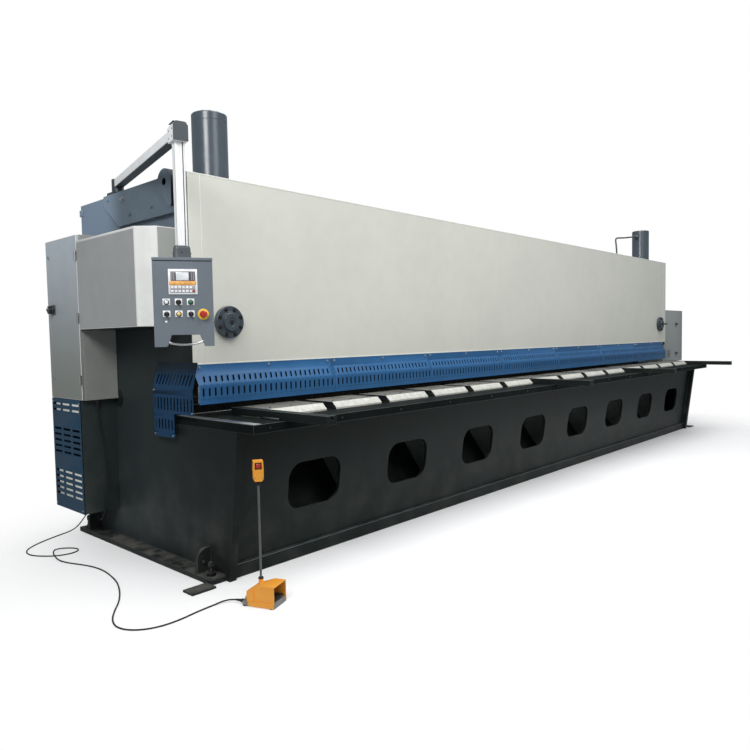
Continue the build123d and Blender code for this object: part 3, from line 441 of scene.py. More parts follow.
class Form:
    """A piece's mesh, gathered from surfaces that are functions of two parameters, in millimetres."""

    def __init__(self):
        self.points = []
        self.faces = []
        self.marks = []
        self.count = 0

    def surface(self, grid, round_v=False, mark=0):
        """Quads over grid[..., u, v, xyz]. Leading axes are copies; a round v joins its end to its start."""
        grid = np.asarray(grid, float)
        rows, columns = grid.shape[-3:-1]
        copies = grid.reshape(-1, rows * columns, 3)
        index = np.arange(rows * columns).reshape(rows, columns)
        if round_v:
            index = np.hstack([index, index[:, :1]])
        quads = np.stack([index[:-1, :-1], index[1:, :-1], index[1:, 1:], index[:-1, 1:]], -1).reshape(-1, 4)
        starts = self.count + np.arange(len(copies)) * rows * columns
        self.faces += (quads[None] + starts[:, None, None]).reshape(-1, 4).tolist()
        self.marks += [mark] * (len(copies) * len(quads))
        self.points.append(copies.reshape(-1, 3))
        self.count += copies.shape[0] * copies.shape[1]

    def turned(self, centres, axis, profile, sides=24, mark=0, lobes=None):
        """Lathe: centre + r*(cos a, sin a) across the axis + h along it; lobes(a) scales r for knobs."""
        side, up, along = frame_of(axis)
        angle = (np.arange(sides) + 0.5) * 2 * math.pi / sides
        ring = np.cos(angle)[:, None] * side + np.sin(angle)[:, None] * up
        if lobes:
            ring = ring * lobes(angle)[:, None]
        radius, height = np.asarray(profile, float).T
        shape = radius[:, None, None] * ring + height[:, None, None] * along
        self.surface(np.asarray(centres, float).reshape(-1, 1, 1, 3) + shape, round_v=True, mark=mark)

    def box(self, low, high, edge=1.0, mark=0, steps=2):
        """Rounded box: corner of the inner box + edge*(cos b cos a, cos b sin a, sin b), with two poles."""
        low, high = (np.asarray(corner, float).reshape(-1, 1, 1, 3) for corner in (low, high))
        quarter = np.radians(np.linspace(0, 90, steps + 1))
        turn = (np.arange(4)[:, None] * math.pi / 2 + quarter).ravel()
        rise = np.concatenate([quarter - math.pi / 2, quarter])[:, None]
        ahead = np.stack(np.broadcast_arrays(
            np.cos(rise) * np.cos(turn), np.cos(rise) * np.sin(turn), np.sin(rise)), -1)
        signs = np.stack(np.broadcast_arrays(
            np.repeat([1.0, -1.0, -1.0, 1.0], steps + 1), np.repeat([1.0, 1.0, -1.0, -1.0], steps + 1),
            np.repeat([-1.0, 1.0], steps + 1)[:, None]), -1)
        middle, half = (low + high) / 2, (high - low) / 2
        shell = middle + signs * (half - edge) + ahead * edge
        poles = middle + half * [0, 0, 1], middle - half * [0, 0, 1]
        whole = np.concatenate([shell[:, :1] * 0 + poles[1], shell, shell[:, :1] * 0 + poles[0]], 1)
        self.surface(whole, round_v=True, mark=mark)

    def carry(self, section, path, mark=0, up=(0, 0, 1), caps=True):
        """A closed section (across, up) carried along a path, each ring square to the path's direction."""
        path, section = np.asarray(path, float), np.asarray(section, float)
        ahead = np.gradient(path, axis=0)
        ahead /= np.linalg.norm(ahead, axis=1)[:, None]
        across = np.cross(ahead, up)
        across /= np.linalg.norm(across, axis=1)[:, None]
        lift = np.cross(across, ahead)
        section = np.broadcast_to(section, (len(path),) + section.shape[-2:])
        rings = path[:, None] + section[..., :1] * across[:, None] + section[..., 1:] * lift[:, None]
        if caps:
            rings = np.concatenate([0 * rings[:1] + path[0], rings, 0 * rings[:1] + path[-1]])
        self.surface(rings, round_v=True, mark=mark)

    def pipe(self, path, radius, sides=12, mark=0):
        """A round tube along a path."""
        angle = np.arange(sides) * 2 * math.pi / sides
        self.carry(radius * np.stack([np.cos(angle), np.sin(angle)], -1), path, mark)

    def prism(self, outline, axis, low, high, mark=0):
        """A flat outline carried straight along x, y or z between two values, with its two flat ends."""
        outline = np.asarray(outline, float)
        rings = np.zeros((2, len(outline), 3))
        rings[:, :, {"x": (1, 2), "y": (0, 2), "z": (0, 1)}[axis]] = outline
        rings[:, :, "xyz".index(axis)] = [[low], [high]]
        start, size = self.count, len(outline)
        self.surface(rings, round_v=True, mark=mark)
        self.faces += [list(range(start, start + size))[::-1], list(range(start + size, start + 2 * size))]
        self.marks += [mark, mark]

    def bead(self, start, end, radius=4.0, pitch=7.0, mark=0):
        """Weld bead between two places: a tube whose radius swells by radius*0.14*sin once each pitch."""
        start, end = np.asarray(start, float), np.asarray(end, float)
        count = max(4, int(np.linalg.norm(end - start) / pitch * 3))
        side, up, _ = frame_of(end - start)
        angle = np.arange(6) * math.pi / 3
        ring = np.cos(angle)[:, None] * side + np.sin(angle)[:, None] * up
        share = np.linspace(0, 1, count)
        swell = radius * (1 + 0.14 * np.sin(np.arange(count) * 2 * math.pi / 3) + 0.06 * np.sin(share * 61))
        self.surface((start + share[:, None] * (end - start))[:, None] + swell[:, None, None] * ring,
                     round_v=True, mark=mark)

    def plain(self, place, u, v, mark=0):
        """An unbroken strip of a folded sheet over the given u and v."""
        self.surface(place(*np.meshgrid(u, v, indexing="ij")), mark=mark)

    def slotted(self, place, u, v, pitch, slot, lean=0.0, mark=0):
        """Rows of slots: 20 points on a cell's outline joined to 20 on a round-ended slot inside it.
        The whole cell leans, because u moves by lean*(share of the way up)."""
        wide, tall = slot
        count = int((u[1] - u[0] - abs(lean)) // pitch)
        first = (u[0] + u[1] - abs(lean) - count * pitch) / 2 + max(0.0, -lean)
        quarter = np.radians(np.linspace(0, 90, 5))
        radius = min(wide, tall) / 2
        rim = np.stack([[1, 1, 1, 0.6, 0.25], [0.25, 0.6, 1, 1, 1]], -1) * [pitch / 2, (v[1] - v[0]) / 2]
        bow = np.stack([np.cos(quarter), np.sin(quarter)], -1)
        arc = [wide / 2 - radius, tall / 2 - radius] + radius * bow
        corner = np.stack([rim, arc])
        ring = np.concatenate([corner, corner[:, ::-1] * [-1, 1], -corner, corner[:, ::-1] * [1, -1]], 1)
        cell_v = ring[..., 1] + (v[0] + v[1]) / 2
        cell_u = ring[..., 0] + lean * (v[1] - cell_v) / (v[1] - v[0])
        centres = first + pitch * (np.arange(count) + 0.5)
        cell_u, cell_v = cell_u[..., ::-1], cell_v[..., ::-1]
        self.surface(place(centres[:, None, None] + cell_u, cell_v), round_v=True, mark=mark)
        last = first + count * pitch
        for left, right in (([u[0], u[0]], [first + lean, first]), ([last + lean, last], [u[1], u[1]])):
            self.surface(place(np.array([left, right]), np.array([v, v])), mark=mark)

    def turn(self, yaw, pivot):
        """Everything so far, made about the upright axis through (0, 0), turned and moved to the pivot."""
        matrix = np.array(Matrix.Rotation(math.radians(yaw), 3, "Z"))
        self.points = [points @ matrix.T + np.asarray(pivot, float) for points in self.points]

    def make(self, name, node, *finishes, edge=0.0, sheet=0.0, whole=False):
        """The finished object on the node's body, faces outwards; whole says that it replaces the node."""
        mesh = bpy.data.meshes.new(name)
        mesh.from_pydata((np.concatenate(self.points) * MM + ZERO).tolist(), [], self.faces)
        mesh.polygons.foreach_set("material_index", np.array(self.marks, np.int32))
        tidy(mesh, turned_out=not sheet)
        fit(name, mesh, node, finishes, edge, sheet, whole)


def tidy(mesh, flat=0.0, turned_out=True):
    """Merge doubles, join flat triangles and point the faces outwards; sheets are already wound one way."""
    work = bmesh.new()
    work.from_mesh(mesh)
    bmesh.ops.remove_doubles(work, verts=work.verts, dist=2e-6)
    bmesh.ops.dissolve_degenerate(work, edges=work.edges, dist=1e-6)
    if flat:
        bmesh.ops.dissolve_limit(work, angle_limit=math.radians(flat), verts=work.verts, edges=work.edges)
    if turned_out:
        bmesh.ops.recalc_face_normals(work, faces=work.faces)
    work.to_mesh(mesh)
    work.free()


SHARP = math.radians(32.0)


def fit(name, mesh, node, finishes, edge, sheet=0.0, whole=True, worn=False):
    """Put a mesh on its node's body with its finishes, its sheet's thickness and its rounded edges."""
    mesh.polygons.foreach_set("use_smooth", np.ones(len(mesh.polygons), bool))
    mesh.set_sharp_from_angle(angle=SHARP)
    piece = add(name, mesh)
    for finish in finishes:
        mesh.materials.append(PAINT[finish])
    if sheet:
        wall = piece.modifiers.new("thickness", "SOLIDIFY")
        wall.thickness = sheet * MM
        wall.offset = 0.0
    if edge:
        rounding = piece.modifiers.new("edges", "BEVEL")
        rounding.width = edge * MM
        rounding.segments = 2
        rounding.limit_method = "ANGLE"
        rounding.angle_limit = SHARP
        if worn:
            rounding.material = len(finishes) - 1
    if sheet or edge:
        weights = piece.modifiers.new("weights", "WEIGHTED_NORMAL")
        weights.weight = 100 if sheet else 50
        weights.keep_sharp = True
    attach(piece, BODY_OF[node])
    if whole:
        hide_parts(node)


def dress(node, *finishes, edge=2.0):
    """A CAD node's own shape as one closed mesh, with rounded edges that show wear."""
    mesh = frame["nodes"][node].data.copy()
    mesh.materials.clear()
    tidy(mesh, flat=0.4)
    mesh.polygons.foreach_set("material_index", np.zeros(len(mesh.polygons), np.int32))
    fit(node + "_form", mesh, node, finishes, edge, worn=len(finishes) > 1)


def bolts(form, centres, axis, size=1.0, mark=0):
    """Hexagon heads with chamfered corners on round washers; size 1 is a 19 mm head."""
    scale = np.array([size, size])
    form.turned(centres, axis, scale * [(0, 0), (12.5, 0), (12.5, 2), (0, 2)], 16, mark)
    head = scale * [(0, 2), (10, 2), (10, 8), (9, 9.4), (0, 9.6)]
    form.turned(centres, axis, head, 6, mark)


def screws(form, centres, axis, size=1.0, mark=0):
    """Round heads with a sunk socket; size 1 is a 16 mm head."""
    rim = np.array([size, size]) * [(0, 0), (8, 0), (8, 4.5), (6.8, 6.5), (3.6, 6.5), (3.6, 3), (0, 3)]
    form.turned(centres, axis, rim, 12, mark)


def nuts(form, centres, axis, size=1.0, stud=14.0, mark=0):
    """Hexagon nuts with the end of a threaded stud standing out of them."""
    scale = np.array([size, size])
    form.turned(centres, axis, scale * [(0, 0), (11, 0), (11, 8), (9.6, 9.6), (0, 9.6)], 6, mark)
    thread = np.arange(0, stud, 1.0)
    shank = np.c_[5.6 + 0.5 * (-1.0) ** np.arange(len(thread)), 9 + thread]
    form.turned(centres, axis, scale * np.concatenate([[(0, 9)], shank, [(0, 9 + stud)]]), 12, mark)


# Control cord

CORD_ROUTE = (
    (-4370, 1362.5, 1054), (-4370, 1362.5, 930), (-4355, 1354, 802), (-4340, 1348, 675),
    (-4331, 1346, 550), (-4333, 1348, 428), (-4340, 1352, 326), (-4345, 1372, 238),
    (-4340, 1430, 168), (-4320, 1520, 148), (-4294, 1608, 176), (-4272, 1675, 212),
    (-4262, 1748, 212), (-4270, 1822, 156), (-4292, 1880, 82), (-4332, 1906, 22),
    (-4396, 1888, 5), (-4500, 1846, 5), (-4610, 1796, 5), (-4715, 1735, 5),
    (-4800, 1660, 5), (-4838, 1570, 5), (-4828, 1480, 5), (-4780, 1402, 5),
    (-4716, 1340, 5), (-4640, 1314, 5), (-4572, 1332, 5), (-4546, 1388, 5),
    (-4574, 1446, 5), (-4636, 1474, 12), (-4703, 1432, 24), (-4745, 1330, 24),
    (-4754, 1228, 8), (-4728, 1120, 5), (-4680, 1010, 5), (-4646, 890, 5),
    (-4640, 765, 5), (-4656, 640, 5), (-4680, 520, 5), (-4722, 405, 5),
    (-4772, 295, 5), (-4832, 190, 5), (-4906, 92, 5), (-4966, -6, 5),
    (-4996, -106, 5), (-4976, -190, 5), (-4914, -256, 5), (-4822, -290, 5),
    (-4712, -288, 5), (-4600, -268, 5), (-4500, -260, 5), (-4428, -266, 12),
    (-4385.955, -297.480, 16), (-4367.225, -343.839, 16),
)
CORD_DIAMETER = 0.009


def make_cord():
    """The control cord as one smooth curve through the CAD cord's own route."""
    points = np.array(CORD_ROUTE) + [LENGTH / 2, 0, 0]
    curve = bpy.data.curves.new("control_cord", "CURVE")
    curve.dimensions = "3D"
    spline = curve.splines.new("NURBS")
    spline.points.add(len(points) - 1)
    places = np.c_[points * MM + ZERO, np.ones(len(points))]
    spline.points.foreach_set("co", places.ravel())
    spline.order_u = 3
    spline.use_endpoint_u = True
    spline.resolution_u = 8
    curve.bevel_depth = CORD_DIAMETER / 2
    curve.bevel_resolution = 3
    curve.use_fill_caps = True
    curve.materials.append(PAINT["rubber"])
    cord = add("control_cord", curve)
    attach(cord, "frame")
    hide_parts("floor_cord")


make_cord()


# Body, bed and table: the walls' thickness, the table's height and the places of its arms

WALL, TABLE = 50.0, 1000.0
ARM_PLACES = np.array([275.0, LENGTH / 2 - 547, LENGTH / 2 + 1740, LENGTH - 151])
PADS_BETWEEN_ARMS = (6, 4, 4)
PAD_GAP = 90.0


def make_body():
    """Walls, bed, beams, blades and rams: a row gives the node, its rounding, its paint and its worn edge."""
    for node, edge, *finishes in (
            ("side_wall_left", 3.0, "wall", "black_edge"),
            ("side_wall_right", 3.0, "right_wall", "black_edge"),
            # front rail and apron: a darker black, painted shade
            ("front_rail", 3.0, "front_black", "slate_edge"), ("apron", 4.0, "front_black", "black_edge"),
            ("bed_ribs", 2.0, "inner_grey", "black_edge"), ("bed_back", 2.0, "inner_grey", "black_edge"),
            ("scrap_chutes", 1.5, "black", "black_edge"), ("table_plate", 2.5, "plate_black", "black_edge"),
            ("feet", 2.5, "foot_black", "black_edge"), ("sole_bars", 1.5, "foot_black", "black_edge"),
            ("rear_beams", 3.0, "black", "black_edge"), ("pivot_tube", 3.0, "black", "black_edge"),
            ("hold_down_beam", 3.0, "black", "black_edge"), ("presser_barrels", 1.5, "black", "black_edge"),
            ("swing_beam", 4.0, "beam", "slate_edge"), ("panel_stiffeners", 1.5, "slate", "slate_edge"),
            ("cylinder_seats", 3.0, "slate", "slate_edge"), ("swing_ribs", 3.0, "slate", "slate_edge"),
            ("back_gauge", 3.0, "slate", "slate_edge"), ("arm_post", 2.0, "slate", "slate_edge"),
            ("arm_bracket", 3.0, "bracket", "slate_edge"), ("upper_blade", 1.0, "blade_steel"),
            ("lower_blade", 1.0, "steel"), ("presser_feet", 1.5, "blade_steel"), ("rams", 1.0, "chrome")):
        dress(node, *finishes, edge=edge)


def make_welds():
    """Beads where the walls meet the apron and the rail, under the table, at the lugs and at the feet."""
    form = Form()
    for x in (WALL + 1, LENGTH - WALL - 1):
        form.bead((x, 21, 90), (x, -88, 943), 4.0)
    for z, y in ((88, 21), (944, -87)):
        form.bead((WALL + 5, y, z), (LENGTH - WALL - 5, y, z), 3.5, 9.0)
    for x, side in ((-1.5, -1), (LENGTH + 1.5, 1)):
        form.bead((x, 15, 35), (x, 1850, 35), 5.0)
        for y in (171, 195, 1695, 1719):
            form.bead((x, y, 40), (x, y, 180), 3.5)
            form.bead((x + side * 2, y, 35), (x + side * 95, y, 35), 3.5)
    for x in range(1204, 7205, 1000):
        form.bead((x, 48, 95), (x, -60, 940), 3.0)
    form.make("weld_beads", "apron", "black_edge")


def make_feet():
    """Levelling screws with their lock nuts, and the washers and nuts of the foot flange."""
    form = Form()
    thread = np.arange(0, 84, 2.0)
    shank = np.c_[15 + 1.1 * (-1.0) ** np.arange(len(thread)), 6 + thread]
    places = [(x, y, 34) for x in (-56, LENGTH + 56) for y in (91, 1799)]
    form.turned(places, UP, [(0, 0), (30, 0), (30, 5), (0, 5)], 24, 1)
    form.turned(places, UP, np.concatenate([[(0, 5)], shank, [(11, 92), (0, 95)]]), 20, 1)
    for low, high in ((5, 24), (56, 88)):
        hexagon = [(0, low), (20, low), (21.5, low + 2), (21.5, high - 2), (19, high), (0, high)]
        form.turned(places, UP, hexagon, 6)
    form.make("levelling_screws", "jack_bolts", "dark_bolt", "dark_bolt", whole=True)
    form = Form()
    form.turned([(x, y, 34) for x in (-72, LENGTH + 72) for y in (420, 1400)], UP,
                [(0, 0.5), (14, 0.5), (15, 0.9), (16, 0.6), (17, -0.5)], 24)
    for x in (-60, LENGTH + 60):
        for y, way in ((170.5, -1), (1719.5, 1)):
            nuts(form, [(x, y, 105)], (0, way, 0), 1.3, 6.0)
    form.make("foot_bolts", "feet", "dark_bolt")


def make_table():
    """Table blocks with sunk screws, arms with their T-slot bolts, the plate's strip and end stops."""
    dress("support_arms", "black", "black_edge", edge=1.5)
    form, blocks = Form(), Form()
    low, high = reach_of("table_blocks")
    front, rear, top = low[1], high[1], high[2]
    section = np.array([(front, TABLE), (front, TABLE + 11), (front + 2, TABLE + 14), (front + 38, top - 2),
                        (front + 42, top), (rear - 2, top), (rear, top - 2), (rear, TABLE)])
    middle = section.mean(0)
    shrink = 1 - np.array([1.5, 1.5, 0.0, 0.0, 1.5, 1.5])[:, None, None] / 60.0
    for start, end, count in zip(ARM_PLACES, ARM_PLACES[1:], PADS_BETWEEN_ARMS):
        step = (end - start) / count
        wide = step - PAD_GAP
        first = start + np.arange(count)[:, None] * step + PAD_GAP / 2
        columns = (first + wide * np.array([0.12, 0.5, 0.88])).ravel()
        spots = lattice(columns, [front + 95, rear - 45], [top])
        screws(form, spots - [0, 0, 2.5], UP, 0.9)
        form.turned(spots, UP, [(-0.4, 0), (11, 0), (11, 0.5), (0, 0.5)], 16, 1)
        rings = np.zeros((count, 6, len(section), 3))
        rings[..., 0] = (first + np.array([0.0, 0.0, 1.5, wide - 1.5, wide, wide]))[..., None]
        rings[..., 1:] = middle + (section - middle) * shrink
        rings[..., 2] = np.maximum(rings[..., 2], TABLE)
        rings[:, [0, 5], :, 1:] = middle
        blocks.surface(rings, round_v=True)
    blocks.make("table_pads", "table_blocks", "table", whole=True)
    form.make("block_screws", "table_blocks", "dark_bolt", "pad_bolt")
    form = Form()
    for x in ARM_PLACES:
        screws(form, lattice([x], [-240, -70, 120], [TABLE + 40]), UP)
        bolts(form, lattice([x - 50, x + 50], [-60, 90], [TABLE + 4]), UP, 0.8)
        for bar in (x - 51, x + 51):
            form.box((bar - 15, -90, TABLE + 0.2), (bar + 15, 120, TABLE + 6), 2.0, 1)
    stop = ARM_PLACES[0] - 37
    form.box((stop, -250, TABLE + 3), (stop + 2.5, -90, TABLE + 12), 0.6, 2)
    form.make("arm_bolts", "support_arms", "dark_bolt", "black", "steel")
    form = Form()
    front = lattice(np.arange(120, LENGTH, 600), [-311], [972])
    screws(form, front, FRONT, 1.0)
    form.box((2, -309, 1000), (60, 528, 1003), 1.0, 1)
    form.make("plate_screws", "table_plate", "dark_bolt", "steel")


# Front panel, press beam and guards

def make_panel():
    """Front panel with its bright bottom lip, rolled top edge, side fold and the bolts of its end bars."""
    dress("front_panel", "panel", "panel_edge", edge=2.5)
    form = Form()
    lip = [(-3.5, -3), (0, -4.5), (2.5, -3), (2.5, 3), (0, 4), (-3.5, 3)]
    for y, z in ((300, 1347), (301, 2565)):
        form.carry(lip, [(3, y, z), (LENGTH - 3, y, z)])
    for x in (89, LENGTH - 89):
        form.box((x - 2, 299.2, 1352), (x + 2, 301, 2560), 0.4)
    form.box((0.5, 301, 2556), (LENGTH - 0.5, 352, 2569.5), 3.0)
    form.make("panel_trim", "front_panel", "panel_edge")
    form = Form()
    for x, way in ((0, -1), (LENGTH, 1)):
        bolts(form, lattice([x], [338], [2137, 2330, 2520]), (way, 0, 0), 1.1)
    form.make("panel_bolts", "panel_stiffeners", "dark_bolt")
    form = Form()
    screws(form, lattice([4480, 4760], [300], [1420, 1480]), FRONT, 0.6)
    form.make("panel_plugs", "front_panel", "panel_edge")


def make_flanges():
    """Two flange covers: stepped disc, eight bolts, a six-sided hub in a shallow recess; the right one has a
    tap.
    """
    form = Form()
    inset, height = 271.0, 1618
    centres = np.array([(inset, 266, height), (LENGTH - inset, 266, height)])
    disc = [(0, -33), (107, -33), (107, -4), (104, 0), (72, 0), (70, 2), (62, 3), (61, 13), (58, 16),
            (30, 16), (28, 12), (0, 12)]
    form.turned(centres, FRONT, disc, 64)
    angle = np.arange(8) * math.pi / 4 + math.pi / 8
    ring = np.stack([np.cos(angle), 0 * angle, np.sin(angle)], -1) * 88
    bolts(form, centres[:, None] + ring, FRONT, 1.15, 1)
    form.turned(centres, FRONT, [(0, 10), (17, 10), (17, 15), (15, 17), (0, 17)], 6, 1)
    form.turned([(LENGTH - inset, 251, height)], FRONT, [(0, -2), (12, -2), (12, 44), (0, 44)], 16, 1)
    form.box((LENGTH - inset - 10, 214, height - 10), (LENGTH - 150, 226, height + 10), 4.0, 1)
    form.make("flange_discs", "flange_covers", "slate", "dark_bolt", edge=0.8, whole=True)


def make_pressers():
    """Coil springs round the presser rods: a thin tube on the helix (r cos a, r sin a, pitch*a/2 pi)."""
    form = Form()
    count, rings, radius, wire, tall = 22, 7, 30, 3.2, 66
    turn = np.linspace(0, rings * 2 * math.pi, 12 * rings)
    angle = np.arange(5) * 2 * math.pi / 5
    across = radius + wire * np.cos(angle)
    helix = np.stack([across * np.cos(turn)[:, None], across * np.sin(turn)[:, None],
                      (turn / turn[-1] * tall)[:, None] + wire * np.sin(angle)], -1)
    rods = WALL + (np.arange(count) + 0.5) * (LENGTH - 2 * WALL) / count
    centres = np.stack([rods, np.full(count, 372.0), np.full(count, 1106.0)], -1)
    form.surface(centres[:, None, None] + helix, round_v=True)
    form.make("presser_springs", "presser_feet", "dark_bolt")


GUARD_SECTIONS = 7
GUARD_END = LENGTH - 130
GUARD_JOINT = 1.5
GUARD_FOLDS = [(298.5, 1343), (298.5, 1283), (250.5, 1211), (250.5, 1086.5)]
SIDE_GUARD_REAR_INSET, RIGHT_GUARD_REAR_OVER = 45, 60
NOTCH = 485


def make_guards():
    """Blade guard: folded sheets with leaning slots above, upright slots below and screws in the top band."""
    step, end = LENGTH / GUARD_SECTIONS, GUARD_END
    place, (top, band, bend, foot) = folded(GUARD_FOLDS, "x")
    form = Form()
    for section in range(GUARD_SECTIONS):
        start, stop = section * step + GUARD_JOINT, min((section + 1) * step, end) - GUARD_JOINT
        ends = np.array([start, stop])
        form.plain(place, ends, [top, band])
        form.slotted(place, ends, (band, bend), 45.5, (15, 47), 24.0)
        form.slotted(place, ends, (bend, bend + 93), 45.5, (14, 56))
        form.plain(place, ends, [bend + 93, foot])
    form.make("guard_sheet", "blade_guard", "blue", sheet=3.0, whole=True)
    form = Form()
    spots = np.minimum(np.arange(GUARD_SECTIONS)[:, None] * step + [38, 603, step - 38], end - 38).ravel()
    screws(form, lattice(spots, [297], [1324]), FRONT, 0.95)
    form.turned(lattice(spots, [296.8], [1324]), FRONT, [(0, 0), (10, 0), (10, 1.2), (0, 1.2)], 12)
    for x in (-2, end - 10):
        form.box((x, 252, 1098), (x + 12, 262, 1205), 1.5)
    form.make("guard_screws", "blade_guard", "bolt")


def make_side_guards():
    """Throat guards: the left one folded, slotted and notched at its foot, the right one straight."""
    low, high = reach_of("throat_guard")
    front, rear = low[1], high[1] - SIDE_GUARD_REAR_INSET
    place, (top, fold, foot) = folded([(-1.5, 1358), (-43.5, 1185), (-43.5, 858)], "y")
    form = Form()
    form.plain(place, (front, rear), [top, top + 70])
    form.slotted(place, (front, rear), (top + 70, fold - 14), 41.0, (16, 74), -24.0)
    form.plain(place, (front, rear), [fold - 14, fold, fold + 40])
    form.slotted(place, (front, rear), (fold + 40, fold + 165), 41.0, (16, 88))
    form.plain(place, (NOTCH, rear), [fold + 165, fold + 190])
    form.slotted(place, (NOTCH, rear), (fold + 190, fold + 290), 41.0, (16, 70))
    form.plain(place, (NOTCH, rear), [fold + 290, foot])
    # the left guard's navy is painted shade
    form.make("side_guard_sheet", "throat_guard", "painted_shade_navy", sheet=3.0, whole=True)
    form = Form()
    spots = [(front + 12, 1034), (NOTCH + 15, 872), (rear - 15, 872), (rear - 15, 1170)]
    screws(form, [(-45, y, z) for y, z in spots], LEFT, 0.8)
    for y in (front + 20, rear - 20):
        form.box((-42, y - 14, 1140), (1, y + 14, 1146), 1.0, 1)
    form.make("side_guard_screws", "throat_guard", "bolt", "black")
    form = Form()
    out = LENGTH + 43.5
    rear += SIDE_GUARD_REAR_INSET + RIGHT_GUARD_REAR_OVER
    place, (head, shoulder, foot) = folded([(out, 1300), (out, 1018), (out, 856)], "y")
    form.plain(place, (735, rear), [head, shoulder])
    form.plain(place, (front, rear), [shoulder, shoulder + 40])
    form.slotted(place, (front, rear), (shoulder + 40, foot - 30), 41.0, (16, 70))
    form.plain(place, (front, rear), [foot - 30, foot])
    form.make("right_guard_sheet", "throat_guard", "blue", sheet=3.0)
    form = Form()
    for y in (front + 20, 560, rear - 20):
        form.box((LENGTH - 1, y - 14, 930), (LENGTH + 42, y + 14, 936), 1.0, 1)
        screws(form, [(LENGTH + 45, y, 933)], RIGHT, 0.8)
    form.make("right_guard_screws", "throat_guard", "bolt", "black")


# Cylinders, pipe and what stands at the rear

def make_cylinders():
    """Beam cylinders with a stepped head, ring of cap screws, foot flange and port blocks."""
    form = Form()
    inset, depth, foot, tall = 350.0, 560, 2060, 989
    centres = np.array([(inset, depth, foot), (LENGTH - inset, depth, foot)])
    low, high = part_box("beam_cylinders")
    wide = (high[1] - low[1]) / MM / 2
    barrel = [(42, 0), (wide + 16, 0), (wide + 18, 2), (wide + 18, 36), (wide + 16, 38), (wide + 1, 38),
              (wide, 42), (wide, 930), (wide - 1.5, 932), (wide - 1.5, 936), (wide, 938), (wide, 983),
              (wide - 4, tall), (wide - 42, tall), (wide - 44, 982), (58, 982), (56, 988), (0, 988)]
    form.turned(centres, UP, barrel, 72)
    angle = np.arange(12) * math.pi / 6
    ring = np.stack([np.cos(angle), np.sin(angle), 0 * angle], -1)
    screws(form, centres[:, None] + ring * (wide - 23) + [0, 0, tall], UP, 1.0, 1)
    bolts(form, centres[:, None] + ring[::2] * (wide + 9) + [0, 0, 38], UP, 0.7, 1)
    form.make("cylinder_barrels", "beam_cylinders", "cylinder", "dark_bolt", whole=True)
    form = Form()
    for x, way in ((inset, 1), (LENGTH - inset, -1)):
        port, tank = x + way * 128, x + way * 200
        form.box((port - 24, 640, 2180), (port + 24, 702, 2240), 4.0)
        nuts(form, [(port, 702, 2210)], REAR, 2.0, 4.0, 1)
        hose = smooth_path([(port, 710, 2210), (port, 800, 2215), (x + way * 150, 905, 2160),
                            (x + way * 170, 1100, 2290), (tank, 1450, 2330), (tank, 1676, 2340)])
        form.pipe(hose, 13.0, 12, 2)
        plug = [(0, -46), (18, -46), (19, -12), (22, -12), (22, 3), (0, 3)]
        form.turned([(tank, 1676, 2340)], REAR, plug, 12, 1)
    form.make("port_blocks", "beam_cylinders", "slate", "bolt", "rubber")
    form = Form()
    x = LENGTH - inset - wide
    nuts(form, [(x - 18, depth, 2960)], LEFT, 1.7, 4.0)
    bolts(form, lattice([x - 24], [535, 585], [2975]), LEFT, 0.5)
    form.box((x - 24, 530, 2930), (x + 8, 590, 2990), 3.0, 1)
    route = np.array([(-20, 560, 2960), (-300, 560, 2922), (-560, 560, 2886), (-740, 560, 2872),
                      (-826, 556, 2846), (-850, 534, 2770), (-851, 520, 2600), (-851, 520, 2001)])
    form.pipe(smooth_path(route + [x, 0, 0]), 11.0, 14, 1)
    form.box((x - 878, 500, 2500), (x - 824, 544, 2530), 3.0)
    form.make("oil_line", "oil_pipe", "bolt", "slate", whole=True)


def make_rear():
    """Oil tank with lid, filler and valve block, and the bolts and welds of the rear beams."""
    x0, x1, y0, y1, z0, z1 = 3520.0, 4920.0, 1320.0, 1680.0, 2250.0, 2500.0
    form = Form()
    form.box((x0, y0, z0), (x1, y1, z1 - 9), 12.0)
    form.box((x0 + 3, y0 + 3, z1 - 9), (x1 - 3, y1 - 3, z1 - 5), 1.0, 1)
    form.box((x0, y0, z1 - 5), (x1, y1, z1), 2.0)
    bolts(form, lattice(np.linspace(x0 + 30, x1 - 30, 8), [y0 + 18, y1 - 18], [z1]), UP, 0.6, 2)
    filler = [(0, 0), (44, 0), (44, 6), (30, 8), (30, 34), (38, 36), (38, 54), (34, 60), (0, 62)]
    form.turned([(x0 + 180, 1500, z1)], UP, filler, 32, 2,
                lobes=lambda a: 1 + 0.015 * np.sign(np.cos(12 * a)))
    form.box((x0 + 330, 1400, z1), (x0 + 560, 1600, z1 + 74), 5.0)
    valves = lattice([x0 + 375, x0 + 445, x0 + 515], [1500], [z1 + 74])
    form.box(valves - [24, 60, 0], valves + [24, 60, 44], 4.0, 1)
    coil = [(0, 0), (19, 0), (19, 52), (15, 56), (0, 56)]
    form.turned(valves + [0, 60, 22], REAR, coil, 20, 1)
    form.turned(valves + [0, -60, 22], FRONT, coil, 20, 1)
    screws(form, valves[:, None] + lattice([-17, 17], [-50, 50], [44]), UP, 0.5, 2)
    form.make("tank_case", "oil_tank", "slate", "plastic", "bolt", whole=True)
    make_motor(1500, z1)
    form = Form()
    for x, way in ((WALL, 1), (LENGTH - WALL, -1)):
        bolts(form, lattice([x + way * 40], [1820], [160, 270, 380, 2290, 2400]), REAR, 1.2)
        for low, high in ((122, 418), (2252, 2448)):
            form.bead((x + way * 2, 1819, low), (x + way * 2, 1819, high), 5.0, mark=1)
    form.make("beam_bolts", "rear_beams", "dark_bolt", "black_edge")


